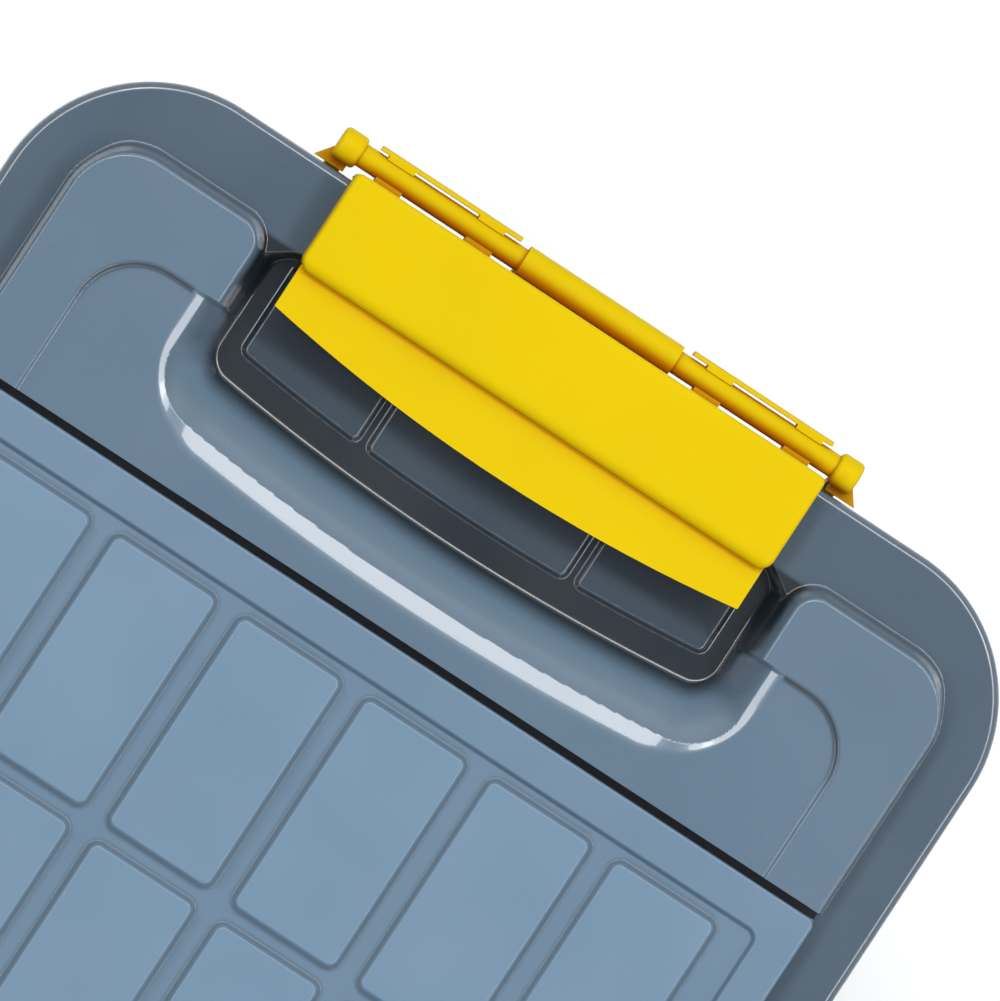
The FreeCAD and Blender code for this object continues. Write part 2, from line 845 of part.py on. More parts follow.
def make_hatch():
    body = doc.addObject("PartDesign::Body", "hatch_panel")
    level_plane = [o for o in body.Origin.OriginFeatures if o.Role == "XY_Plane"][0]

    def sketch_at(name, z):
        sketch = body.newObject("Sketcher::SketchObject", name)
        sketch.AttachmentSupport = [(level_plane, "")]
        sketch.MapMode = "FlatFace"
        sketch.setExpression(".AttachmentOffset.Base.z", cells(z))
        return sketch

    outline = sketch_at("outline", "hatch_base")
    rounded(outline, "2 * hatch_half_length", "2 * plateau_half_width", "hatch_corner")
    panel = body.newObject("PartDesign::Pad", "panel")
    panel.Profile = outline
    bind(panel, Length="plateau_top - hatch_base")

    inside = sketch_at("inside", "hatch_base")
    rounded(
        inside,
        "2 * (hatch_half_length - panel_wall)",
        "2 * (plateau_half_width - panel_wall)",
        "hatch_corner / 2",
    )
    hollow = body.newObject("PartDesign::Pocket", "hollow")
    hollow.Profile = inside
    hollow.Reversed = True
    bind(hollow, Length="panel_under - hatch_base")

    field = sketch_at("field", "field_top")
    rounded(
        field,
        "2 * (hatch_half_length - field_inset)",
        "2 * (plateau_half_width - field_inset)",
        "field_corner",
    )
    sunken = body.newObject("PartDesign::Pocket", "sunken_field")
    sunken.Profile = field
    sunken.Reversed = True
    bind(sunken, Length="field_depth + bite")

    body.Tip = sunken
    doc.recompute()
    blocks = sunken
    for row in range(BLOCK_ROWS):
        spot = sketch_at("block_%d" % row, "field_top")
        middle = "%g * block_row_pitch" % (row - (BLOCK_ROWS - 1) / 2)
        rounded(spot, "block_length", "block_width", "block_corner", middle)
        first = "-block_pitch * %g" % ((BLOCKS_ACROSS - 1) / 2)
        spot.setExpression(".AttachmentOffset.Base.y", cells(first))
        raised = body.newObject("PartDesign::Pad", "raised_%d" % row)
        raised.Profile = spot
        bind(raised, Length="block_rise")
        body.Tip = raised
        doc.recompute()
        blocks = body.newObject("PartDesign::LinearPattern", "line_%d" % row)
        blocks.Originals = [raised]
        blocks.Direction = (spot, ["V_Axis"])
        blocks.Occurrences = BLOCKS_ACROSS
        blocks.setExpression("Length", cells("block_pitch * %d" % (BLOCKS_ACROSS - 1)))
        body.Tip = blocks
        doc.recompute()

    top = value("field_top + block_rise")
    edges = ["Edge%d" % i for i, e in enumerate(blocks.Shape.Edges, start=1) if level(e, top)]
    soft = body.newObject("PartDesign::Fillet", "soft_blocks")
    soft.Base = (blocks, edges)
    bind(soft, Radius="block_edge")
    body.Tip = soft
    doc.recompute()

    knuckles = []
    for middle in hinge_places():
        start = "%s - hinge_hatch_half" % middle
        knuckles.append(bar_x(start, "hinge_y", "hinge_z", "hinge_radius", "2 * hinge_hatch_half"))
        knuckles.append(
            box(
                start,
                "plateau_half_width - bite",
                "hinge_z - hinge_radius / 2",
                "2 * hinge_hatch_half",
                "hinge_offset + bite",
                "1.5 * hinge_radius",
            )
        )
    bores = []
    for middle in hinge_places():
        bores.append(
            bar_x(
                "%s - hinge_hatch_half - bite" % middle,
                "hinge_y",
                "hinge_z",
                "hinge_pin_radius + pin_play",
                "2 * (hinge_hatch_half + bite)",
            )
        )
    tab = box(
        "-tab_width / 2",
        "-(plateau_half_width + tab_reach)",
        "hinge_z - tab_thick / 2",
        "tab_width",
        "tab_reach + bite",
        "tab_thick",
    )
    finish(cut(fuse(body, tab, *knuckles), *bores), "hatch")


# The seals: one between the tub's rim and the lid, one under the hatch.
def make_seals():
    finish(
        ring(
            "rim_length - rim_reach",
            "rim_width - rim_reach",
            "tub_corner",
            "seal_width",
            "rim_top",
            "seal_thick",
        ),
        "lid_seal",
    )
    finish(
        ring(
            "2 * (hatch_half_length - seal_inset)",
            "2 * (plateau_half_width - seal_inset)",
            "hatch_corner + seal_width",
            "seal_width",
            "flange_top",
            "hatch_lift",
        ),
        "hatch_seal",
    )


# One latch: a link on a pin in the tub's ears, and a lever flap that clips on the link's rod.
def make_latch(number, turn):
    make_link(number, turn)
    make_flap(number, turn)
    pin_half = "pin_reach + cap_grip"
    pin = bar_y("pivot_x", "-(%s)" % pin_half, "pivot_z", "pivot_pin_radius", "2 * (%s)" % pin_half)
    pin = fillet(pin, "pin_round", lambda edge: edge.BoundBox.YLength < 0.01)
    finish(pin, "latch_pin_%d" % number, turn)
    caps = []
    for start in ("pin_reach + side_play / 2", "-(pin_reach + side_play / 2 + cap_length)"):
        caps.append(bar_y("pivot_x", start, "pivot_z", "cap_radius", "cap_length"))
    hole = bar_y("pivot_x", "-(%s)" % pin_half, "pivot_z", "pivot_pin_radius", "2 * (%s)" % pin_half)
    finish(cut(fuse(*caps), hole), "latch_pin_caps_%d" % number, turn)


def make_link(number, turn):
    """The link: a windowed plate from its lower knuckles up to a rod with three knuckles."""
    rod = bar_y("rod_x", "-(link_half - bite)", "rod_z", "rod_radius", "2 * (link_half - bite)")
    middle = bar_y(
        "rod_x", "-mid_knuckle_half", "rod_z", "mid_knuckle_radius", "2 * mid_knuckle_half"
    )
    ends = []
    for start in ("-link_half", "link_half - end_knuckle"):
        ends.append(bar_y("rod_x", start, "rod_z", "end_knuckle_radius", "end_knuckle"))
    ends = [fillet(thing, "knuckle_round", lambda edge: True) for thing in ends]
    plate = side_prism(
        [
            ("rod_x - link_thick / 2", "rod_z"),
            ("rod_x + link_thick / 2", "rod_z"),
            ("pivot_x + link_thick / 2", "pivot_z"),
            ("pivot_x - link_thick / 2", "pivot_z"),
        ],
        "0",
        "2 * arm_outer",
    )
    windows = []
    for start in ("mid_knuckle_half", "-arm_inner"):
        windows.append(
            box(
                "rod_x - window_drop",
                start,
                "rod_z - window_drop",
                "2 * window_drop",
                "arm_inner - mid_knuckle_half",
                "window_drop + bite",
            )
        )
    lower = []
    for start, end in lower_knuckles():
        length = "(%s) - (%s)" % (end, start)
        lower.append(bar_y("pivot_x", start, "pivot_z", "pivot_knuckle_radius", length))
    notches = []
    for start in ("ear_inner", "ear_outer", "-(ear_inner + ear_thick)", "-(ear_outer + ear_thick)"):
        notches.append(
            bar_y(
                "pivot_x",
                "%s - side_play" % start,
                "pivot_z",
                "ear_radius + 2 * side_play",
                "ear_thick + 2 * side_play",
            )
        )
    arms = [part for side in ("", "-") for part in (make_arm_rib(side), make_gusset(side))]
    whole = fuse(cut(plate, *windows), middle, rod, *(ends + arms + lower))
    bore = bar_y("pivot_x", "-2 * link_half", "pivot_z", "pivot_pin_radius + pin_play", "4 * link_half")
    finish(cut(whole, bore, *notches), "latch_link_%d" % number, turn)


def make_arm_rib(side):
    """A rib down the outside of one of the link's arms."""
    lean = "pivot_back / pivot_drop"
    foot_x = "pivot_x + arm_foot * %s" % lean
    return side_prism(
        [
            ("rod_x", "rod_z"),
            ("rod_x + link_thick / 2 + arm_rib", "rod_z - end_knuckle_radius"),
            (foot_x + " + link_thick / 2 + arm_rib", "pivot_z + arm_foot"),
            (foot_x, "pivot_z + arm_foot"),
        ],
        "%s(arm_inner + arm_outer) / 2" % side,
        "arm_rib",
    )


def make_gusset(side):
    """A flat web beside an end knuckle, from the rod towards the lid's edge."""
    sketch = flat_sketch("rod_z - gusset_drop - link_thick")
    polygon(
        sketch,
        [
            ("rod_x", side + "arm_inner"),
            ("lid_end + gusset_gap", side + "arm_inner"),
            ("lid_end + gusset_gap", side + "gusset_outer"),
            ("rod_x", side + "(link_half - knuckle_round)"),
        ],
    )
    return extruded(sketch, "link_thick")


def lower_knuckles():
    """Where the link's lower knuckles start and end, between the tub's ears."""
    return (
        ("-(ear_outer - side_play)", "-(ear_inner + ear_thick + side_play)"),
        ("-(ear_inner - side_play)", "ear_inner - side_play"),
        ("ear_inner + ear_thick + side_play", "ear_outer - side_play"),
    )


def make_flap(number, turn):
    """The lever flap: a hollow cover, a finger lip and the clips round the link's rod."""
    skin = side_prism(
        [
            ("flap_face", "rod_z"),
            ("flap_face + flap_thick", "rod_z"),
            ("flap_face + flap_thick", "flap_top"),
            ("lid_end - flap_reach", "flap_top"),
            ("lid_end - flap_reach", "flange_top + flap_lift"),
            ("flap_face", "flange_top + flap_lift"),
        ],
        "0",
        "2 * flap_half",
    )
    skin = fillet(skin, "flap_corner", outer_corner)
    skin = fillet(skin, "flap_round", lambda edge: side_top_edge(edge) or outer_top_edge(edge))
    skin = fillet(skin, "flap_roll", inner_top_edge)
    hollow = side_prism(
        [
            ("flap_face - sliver", "flange_top"),
            ("flap_face - sliver", "flap_under"),
            ("lid_end - flap_reach + flap_thick", "flap_under"),
            ("lid_end - flap_reach + flap_thick", "flange_top"),
        ],
        "0",
        "2 * (flap_half - flap_thick)",
    )
    lip_top = "flap_top - lip_drop"
    lip = side_prism(
        [
            ("lid_end - flap_reach + flap_thick / 2", lip_top),
            ("lid_end - lip_reach - bite", "%s + lip_rise" % lip_top),
            ("lid_end - lip_reach - bite", "%s + lip_rise - flap_thick" % lip_top),
            ("lid_end - flap_reach + flap_thick / 2", "%s - flap_thick" % lip_top),
        ],
        "0",
        "2 * lip_half",
    )
    sweep = upright(
        "lid_end - lip_reach + lip_radius", "0", "flange_under", "lip_radius", "flap_top - flange_under"
    )
    ribs = []
    for step in (-2, -1, 0, 1, 2):
        ribs.append(
            box(
                "lid_end - flap_reach + bite",
                "%d * flap_half / 3 - flap_thick / 2" % step,
                "flange_top + flap_lift",
                "flap_reach - bite + flap_edge_gap",
                "flap_thick",
                "flap_under - flange_top - flap_lift + bite",
            )
        )
    clips = [make_clip(side) for side in (-1, 1)]
    body = fuse(cut(skin, hollow), common(lip, sweep), *(ribs + clips))
    channel = bar_y("rod_x", "-link_half", "rod_z", "rod_radius + pin_play", "2 * link_half")
    knuckle_room = bar_y(
        "rod_x",
        "-(mid_knuckle_half + side_play)",
        "rod_z",
        "mid_knuckle_radius + side_play",
        "2 * (mid_knuckle_half + side_play)",
    )
    finish(cut(body, channel, knuckle_room), "latch_flap_%d" % number, turn)


# Edges longer than this are the flap's own outline, not its small corners.
LONG_EDGE = 10


def outer_corner(edge):
    """Picks the upright corners of the flap's outer wall."""
    bounds = edge.BoundBox
    return bounds.ZLength > LONG_EDGE and bounds.XMin > value("flap_face")


def outer_top_edge(edge):
    """Picks the long edge of the flap's top above the rod."""
    bounds = edge.BoundBox
    on_top = level(edge, value("flap_top"))
    return on_top and bounds.YLength > value("flap_half") and bounds.XMin > value("flap_face")


def inner_top_edge(edge):
    """Picks the long edge of the flap's top above the recess."""
    bounds = edge.BoundBox
    on_top = level(edge, value("flap_top"))
    return on_top and bounds.YLength > value("flap_half") and bounds.XMax < value("lid_end")


def side_top_edge(edge):
    """Picks the two side edges of the flap's top."""
    return edge.BoundBox.XLength > LONG_EDGE and level(edge, value("flap_top"))


def make_clip(side):
    """One clip: saddles under the rod, open above it, that carry a lip along its far side."""
    start = "clip_inner" if side > 0 else "-clip_outer"
    wall = bar_y("rod_x", start, "rod_z", "clip_radius", "clip_outer - clip_inner")
    mouth = box(
        "rod_x - clip_mouth / 2",
        "%s - bite" % start,
        "rod_z",
        "clip_mouth",
        "clip_outer - clip_inner + 2 * bite",
        "2 * clip_radius",
    )
    above = box(
        "rod_x - 2 * clip_radius",
        "%s - bite" % start,
        "rod_z + clip_top",
        "4 * clip_radius",
        "clip_outer - clip_inner + 2 * bite",
        "2 * clip_radius",
    )
    gaps = []
    spans = (
        ("clip_inner - bite", "hook_inner"),
        ("hook_inner + hook_width", "hook_outer - hook_width"),
        ("hook_outer", "clip_outer + bite"),
    )
    for low, high in spans:
        begin = low if side > 0 else "-(%s)" % high
        gaps.append(
            box(
                "rod_x - 2 * clip_radius",
                begin,
                "rod_z - 2 * clip_radius",
                "2 * clip_radius + rod_radius + clip_slit",
                "(%s) - (%s)" % (high, low),
                "4 * clip_radius",
            )
        )
    return cut(wall, mouth, above, *gaps)


# The tray: a rimmed box with a spine for its handle, and slots for its dividers.
def make_tray():
    outer = slab("tray_length", "tray_width", "tray_corner", "tray_base", "tray_depth")
    rim = slab(
        "tray_length + 2 * tray_rim",
        "tray_width + 2 * tray_rim",
        "tray_corner + tray_rim",
        "tray_top - tray_rim_thick",
        "tray_rim_thick",
    )
    inner = slab(
        "tray_length - 2 * tray_wall",
        "tray_width - 2 * tray_wall",
        "tray_corner - tray_wall",
        "tray_base + tray_wall",
        "tray_depth",
    )
    spine = across(
        "-(tray_length - tray_wall) / 2",
        "0",
        "tray_base + bite",
        "tray_length - tray_wall",
        "spine_thick",
        "tray_depth - bite",
    )
    lugs = []
    for side in (-1, 1):
        start = "lug_spacing / 2" if side > 0 else "-(lug_spacing / 2 + lug_thick)"
        lugs.append(
            across(
                start,
                "0",
                "tray_top - bite",
                "lug_thick",
                "spine_thick + 2 * bite",
                "lug_rise + bite",
            )
        )
    guides = []
    sides = ("- divider_thick / 2 - slot_play - guide_thick", "+ divider_thick / 2 + slot_play")
    for guide_y in guide_places():
        for x in divider_places():
            for side in sides:
                guides.append(
                    box(
                        "%s %s" % (x, side),
                        guide_y,
                        "tray_base + tray_wall - guide_sink",
                        "guide_thick",
                        "guide_reach",
                        "tray_depth - divider_drop",
                    )
                )
    holes = bar_x(
        "-(lug_spacing / 2 + lug_thick + bite)",
        "0",
        "bail_z",
        "bail_stub_radius + pin_play",
        "lug_spacing + 2 * (lug_thick + bite)",
    )
    body = fuse(cut(fuse(outer, rim), inner), spine, *(lugs + guides))
    finish(cut(body, holes), "tray")


def divider_places():
    """The middles of the dividers along X."""
    return ("-divider_spacing", "divider_spacing")


def guide_places():
    """Where the dividers' guides start across the tray, at its walls and at its spine."""
    return (
        "spine_thick / 2 - guide_sink",
        "tray_width / 2 - tray_wall - guide_reach + guide_sink",
        "-(spine_thick / 2 + guide_reach - guide_sink)",
        "-(tray_width / 2 - tray_wall + guide_sink)",
    )


def make_dividers():
    number = 0
    for start in ("spine_thick / 2 + slot_play", "-(tray_width / 2 - tray_wall - slot_play)"):
        for x in divider_places():
            number += 1
            plate = box(
                "%s - divider_thick / 2" % x,
                start,
                "tray_base + tray_wall",
                "divider_thick",
                "tray_width / 2 - tray_wall - spine_thick / 2 - 2 * slot_play",
                "tray_depth - divider_drop - divider_room",
            )
            finish(plate, "tray_divider_%d" % number)


# The tray's folding bail handle.
def make_handle():
    body = doc.addObject("PartDesign::Body", "bail")
    plane = [o for o in body.Origin.OriginFeatures if o.Role == "XY_Plane"][0]
    sketch = body.newObject("Sketcher::SketchObject", "u_shape")
    sketch.AttachmentSupport = [(plane, "")]
    sketch.MapMode = "FlatFace"
    outer = "(lug_spacing / 2 - side_play)"
    inner = "(lug_spacing / 2 - side_play - bail_bar)"
    polygon(
        sketch,
        [
            (outer, "-bail_bar / 2"),
            (outer, "bail_reach"),
            ("-" + outer, "bail_reach"),
            ("-" + outer, "-bail_bar / 2"),
            ("-" + inner, "-bail_bar / 2"),
            ("-" + inner, "bail_reach - bail_bar"),
            (inner, "bail_reach - bail_bar"),
            (inner, "-bail_bar / 2"),
        ],
    )
    pad = body.newObject("PartDesign::Pad", "bar")
    pad.Profile = sketch
    pad.Midplane = True
    bind(pad, Length="bail_bar")
    body.Tip = pad
    doc.recompute()
    upright_edges = [
        "Edge%d" % i
        for i, e in enumerate(pad.Shape.Edges, start=1)
        if e.BoundBox.ZLength > value("bail_bar") / 2
    ]
    corners = body.newObject("PartDesign::Fillet", "corners")
    corners.Base = (pad, upright_edges)
    bind(corners, Radius="bail_corner")
    body.Tip = corners
    doc.recompute()
    half = value("bail_bar") / 2
    rims = [
        "Edge%d" % i
        for i, e in enumerate(corners.Shape.Edges, start=1)
        if level(e, half) or level(e, -half)
    ]
    soft = body.newObject("PartDesign::Fillet", "soft_edges")
    soft.Base = (corners, rims)
    bind(soft, Radius="bail_round")
    body.Tip = soft
    bind(body, z="bail_z")
    stubs = []
    for side in (-1, 1):
        start = "lug_spacing / 2 - side_play - bite" if side > 0 else "-(lug_spacing / 2 + lug_thick)"
        stubs.append(bar_x(start, "0", "bail_z", "bail_stub_radius", "lug_thick + side_play + bite"))
    finish(fuse(body, *stubs), "tray_handle")


make_feet()
make_lid_frame()
make_hinge_pins()
make_hatch()
make_seals()
for end, facing in ((1, 0), (2, 180)):
    make_latch(end, facing)
make_tray()
make_dividers()
make_handle()
doc.recompute()

for thing in doc.Objects:
    for trouble in ("Invalid", "Error"):
        if trouble in thing.State:
            raise RuntimeError("%s (%s) is %s" % (thing.Name, thing.Label, trouble))
for node in nodes:
    shape = node.Shape
    if shape.isNull() or not shape.isValid():
        raise RuntimeError("%s has no valid shape" % node.Label)
    print("%-20s solids %d  volume %.0f" % (node.Label, len(shape.Solids), shape.Volume))
for node in nodes:
    node.Shape.exportStep("parts/%s.step" % node.Label)
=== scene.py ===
import json
import math

import bpy
import numpy as np
from mathutils import Matrix, Vector


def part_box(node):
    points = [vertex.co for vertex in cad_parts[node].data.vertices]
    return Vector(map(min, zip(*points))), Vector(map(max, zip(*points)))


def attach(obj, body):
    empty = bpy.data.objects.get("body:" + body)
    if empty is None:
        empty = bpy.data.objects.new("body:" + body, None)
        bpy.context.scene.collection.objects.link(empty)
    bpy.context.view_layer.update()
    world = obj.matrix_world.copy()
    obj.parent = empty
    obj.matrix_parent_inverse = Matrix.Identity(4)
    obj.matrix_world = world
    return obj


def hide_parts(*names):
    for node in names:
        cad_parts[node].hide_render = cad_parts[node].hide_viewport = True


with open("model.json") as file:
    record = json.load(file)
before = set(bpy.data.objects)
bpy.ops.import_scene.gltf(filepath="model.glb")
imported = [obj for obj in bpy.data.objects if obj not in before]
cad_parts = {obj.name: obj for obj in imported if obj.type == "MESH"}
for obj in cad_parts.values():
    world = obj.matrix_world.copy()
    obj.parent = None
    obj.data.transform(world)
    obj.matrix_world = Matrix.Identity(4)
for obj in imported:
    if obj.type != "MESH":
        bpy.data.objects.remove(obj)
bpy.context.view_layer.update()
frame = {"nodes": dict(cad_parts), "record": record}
nodes = frame["nodes"]

MM = 0.001

# Places taken from the frame, in millimetres.
lid_low, lid_high = (np.array(corner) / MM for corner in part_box("lid_frame"))
_hatch_low, hatch_high = (np.array(corner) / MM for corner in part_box("hatch"))
LID_END = lid_high[0]
LID_SIDE = lid_high[1]
TOP = hatch_high[2]
SKIRT_BOTTOM = lid_low[2]
HATCH_END = hatch_high[0]

# The lid's outline and levels, in millimetres. Distances go inward from the lid's end, or out from
# its middle line.
RISE = 10.0
FLANGE = TOP - RISE
LID_CORNER = 55.0
RIM_ROUND = 2.8
WALL = 2.6
FLANGE_END = 29.0
PLATEAU_SIDE = LID_SIDE - 20.4
PLATEAU_CORNER = 21.5
GAP_START = 115.7
LEDGE = 14.0
STEP_START = 57.3
STEP_SIDE = 145.3
STEP_CORNER = 22.0
STEP_DEPTH = 1.5
HORN_SIDE = 104.7
HORN_CORNER = 8.5
FLOOR_START = 31.0
FLOOR_SIDE = 96.5
FLOOR_REACH = 80.4
MOUTH_SIDE = 115.0
MOUTH_REACH = 109.8
SHOULDER = 32.0
BROW_CORNER = 17.0
BAND_SIDE = 5.0
BAND_BACK = 9.2
BAND_TILT = math.radians(11.8)
SEAM_PLACE = 96.0
SEAM_WIDTH = 6.5
PAD_RISE = 1.6
PAD_EDGE = 2.2
PAD_SOFT = 0.4
PAD_CORNER = 3.0
PAD_REACH = 72.0
PAD_SIDE = 90.5
PAD_FRONT = 3.0
GROOVE_PLACE = 40.5
HALF_GROOVE = 1.4
FLOOR_ARC = 750.0
FLOOR_CORNER = 7.0
FLOOR_FRONT_CORNER = 8.0
MOUTH_ARC = 800.0
SEAM_DIP = 0.45
CORNER_LEAN = 0.33
BAND_EASE = 0.5
FOOT_EASE = 0.12
COVE = 1.2
COVE_GROWTH = 2.4
BROW = 1.3
FLOOR_WALL = 3.0
FLOOR_WALL_GROWTH = 4.0
STEP_EDGE = 1.2

# Painted shade and painted light on parts of the lid and the hatch, as shares of their plastic's
# colour.
# The flange, the skirt and the lid's knuckles are painted darker than the plateau, as shade.
FLANGE_SHADE = 0.6
# Painted shade in the recess, deepest on its floor.
RECESS_SHADE = 0.9
# The ledge under the hatch's edges is painted almost black, as shade.
LEDGE_SHADE = 0.05
# The walls of the gap round the hatch are painted dark, as shade.
GAP_SHADE = 0.25
# The lid's and the hatch's undersides are painted darker, as shade.
UNDER_SHADE = 0.8
HATCH_UNDER_SHADE = 0.9
# Painted light on the recess's slope.
SLOPE_LIGHT = 0.17
# A painted shadow line along the step's edge.
LINE_SHADE = 0.65
# The recess's pads are painted lighter than its floor, as painted reflection.
PAD_LIGHT = 0.08

# How far a face may stray from the surface's slope and painted shade before it is split.
SLOPE_TOLERANCE = 0.018
PAINTED_SHADE_TOLERANCE = 0.045
LID_GRID = 0.5
UNDER_GRID = 1.8

CAMERA_LEAN = math.radians(4.6)

# The hatch, its blocks, its finger tab and its hinges.
TOP_OF_LID = 320.0
PANEL_BASE = 312.0
HATCH_SIDE = PLATEAU_SIDE
HATCH_CORNER = 3.0
EDGE_ROUND = 1.0
FIELD_INSET = 13.0
FIELD_DEPTH = 1.8
FIELD_SLOPE = 2.0
FIELD_CORNER = 4.5
BLOCK_LENGTH = 83.2
BLOCK_WIDTH = 42.1
BLOCK_CORNER = 4.7
BLOCK_RISE = 1.5
BLOCK_SLOPE = 2.7
BLOCK_PITCH = 48.4
ROW_PITCH = 86.95
TAB_HALF = 45.0
TAB_REACH = 9.0
TAB_THICK = 3.0
HINGE_PLACE = 110.0
HINGE_Y = HATCH_SIDE + 5.0
HINGE_Z = 315.0
HINGE_RADIUS = 4.5
HATCH_KNUCKLE = 15.5
LID_KNUCKLE = 14.0
HINGE_GAP = 0.5


def smooth(x):
    """0 up to x = 0, 1 from x = 1, with level ends."""
    x = np.clip(x, 0.0, 1.0)
    return x * x * (3.0 - 2.0 * x)


def inside_corner(a, b, radius):
    """Distance inside two crossing edges, a and b inside each, with their corner rounded."""
    x = radius - a
    y = radius - b
    corner = np.hypot(np.maximum(x, 0.0), np.maximum(y, 0.0))
    return radius - (corner + np.minimum(np.maximum(x, y), 0.0))


def round_edge(distance, radius):
    """Height of a rounded edge over its foot, at a distance inside its outline."""
    return np.sqrt(np.maximum(radius**2 - np.clip(radius - distance, 0.0, radius) ** 2, 0.0))


def eased(way, ease):
    """0 to 1 along a way that starts level, over a first share of it, and then rises evenly."""
    rise = np.where(way < ease, way**2 / (2.0 * ease), way - ease / 2)
    return rise / (1.0 - ease / 2)


def inside_arc(s, u, reach, radius):
    """Distance inside a shallow arc that crosses the middle line at reach."""
    return radius - np.hypot(s - (reach - radius), u)


def outline_distance(s, u):
    """Distance inside the lid's outer outline."""
    return inside_corner(s, LID_SIDE - u, LID_CORNER)


def floor_distance(s, u):
    """Distance outside the recess's floor."""
    back = inside_corner(FLOOR_SIDE - u, inside_arc(s, u, FLOOR_REACH, FLOOR_ARC), FLOOR_CORNER)
    return -inside_corner(back, s - FLOOR_START, FLOOR_FRONT_CORNER)


def mouth_distance(s, u):
    """Distance inside the recess's upper edge, behind the horns."""
    return inside_corner(MOUTH_SIDE - u, inside_arc(s, u, MOUTH_REACH, MOUTH_ARC), SHOULDER)


def brow_distance(s, u):
    """Distance inside the crisp line where the recess's soft upper band turns into its slope."""
    back = inside_arc(s, u, MOUTH_REACH - BAND_BACK, MOUTH_ARC)
    return inside_corner(MOUTH_SIDE - BAND_SIDE - u, back, BROW_CORNER)


def pad_distance(s, u):
    """Distance inside the nearest of the three pads on the recess's floor."""
    arc = inside_arc(s, u, PAD_REACH, FLOOR_ARC)
    middle = inside_corner(GROOVE_PLACE - HALF_GROOVE - u, arc, PAD_CORNER)
    outer = inside_corner(PAD_SIDE - u, arc, PAD_CORNER)
    outer = np.minimum(outer, inside_corner(u - GROOVE_PLACE - HALF_GROOVE, arc, PAD_CORNER))
    return np.minimum(np.maximum(middle, outer), s - FLOOR_START - PAD_FRONT)


def pad_share(s, u):
    """0 off the recess's pads, 1 on them."""
    return smooth((pad_distance(s, u) + PAD_SOFT) / PAD_EDGE)


def recess_slope(s, u):
    """Height over the flange of the recess's back: soft band, crisp line, slope and cove."""
    inside = mouth_distance(s, u)
    below = brow_distance(s, u)
    outside = np.maximum(floor_distance(s, u), 0.0)
    top = RISE - STEP_DEPTH
    seam = np.exp(-(((u - SEAM_PLACE) / SEAM_WIDTH) ** 2))
    along = np.maximum(SHOULDER - MOUTH_SIDE + u, 0.0)
    back = np.maximum(SHOULDER - inside_arc(s, u, MOUTH_REACH, MOUTH_ARC), 0.0)
    diagonal = 2.0 * along * back / np.maximum(along**2 + back**2, 0.01)
    lean = math.tan(BAND_TILT) * (1.0 - SEAM_DIP * seam) * (1.0 + CORNER_LEAN * diagonal)
    width = np.maximum(inside - below, 0.1)
    in_band = top - lean * width * eased(np.clip(inside / width, 0.0, 1.0), BAND_EASE)
    way = outside / np.maximum(outside + np.maximum(below, 0.0), 0.01)
    on_slope = -RISE + (top - lean * width + RISE) * eased(way, FOOT_EASE)
    return np.where(inside <= 0.0, top, np.where(below <= 0.0, in_band, on_slope))


def lid_height(s, u):
    """Height of the lid's upper face at s inward from its end and u out from its middle line."""
    drop = RIM_ROUND - round_edge(outline_distance(s, u), RIM_ROUND)

    end_edge = s - FLANGE_END
    side_edge = PLATEAU_SIDE - u
    plateau = inside_corner(end_edge, side_edge, PLATEAU_CORNER)
    horn = inside_corner(plateau, u - HORN_SIDE, HORN_CORNER)
    turn = 24.0
    cove = COVE + COVE_GROWTH * smooth((side_edge - end_edge + turn / 2) / turn)

    outside_floor = floor_distance(s, u)
    wall = FLOOR_WALL + FLOOR_WALL_GROWTH * smooth((s - FLOOR_START) / 6.0)
    sunk = -RISE * (1.0 - smooth(outside_floor / wall))
    front = RISE * smooth((horn + cove) / (cove + BROW)) + sunk

    step = inside_corner(s - STEP_START, STEP_SIDE - u, STEP_CORNER)
    raised = RISE * smooth((plateau + cove) / (cove + BROW))
    raised = raised - STEP_DEPTH * smooth((step + 0.3) / STEP_EDGE)
    back = np.where(mouth_distance(s, u) > 0.0, np.minimum(recess_slope(s, u), raised), raised)

    behind = smooth((s - STEP_START + 1.0) / 2.0)
    pads = PAD_RISE * pad_share(s, u)
    return FLANGE - drop + front * (1.0 - behind) + back * behind + pads


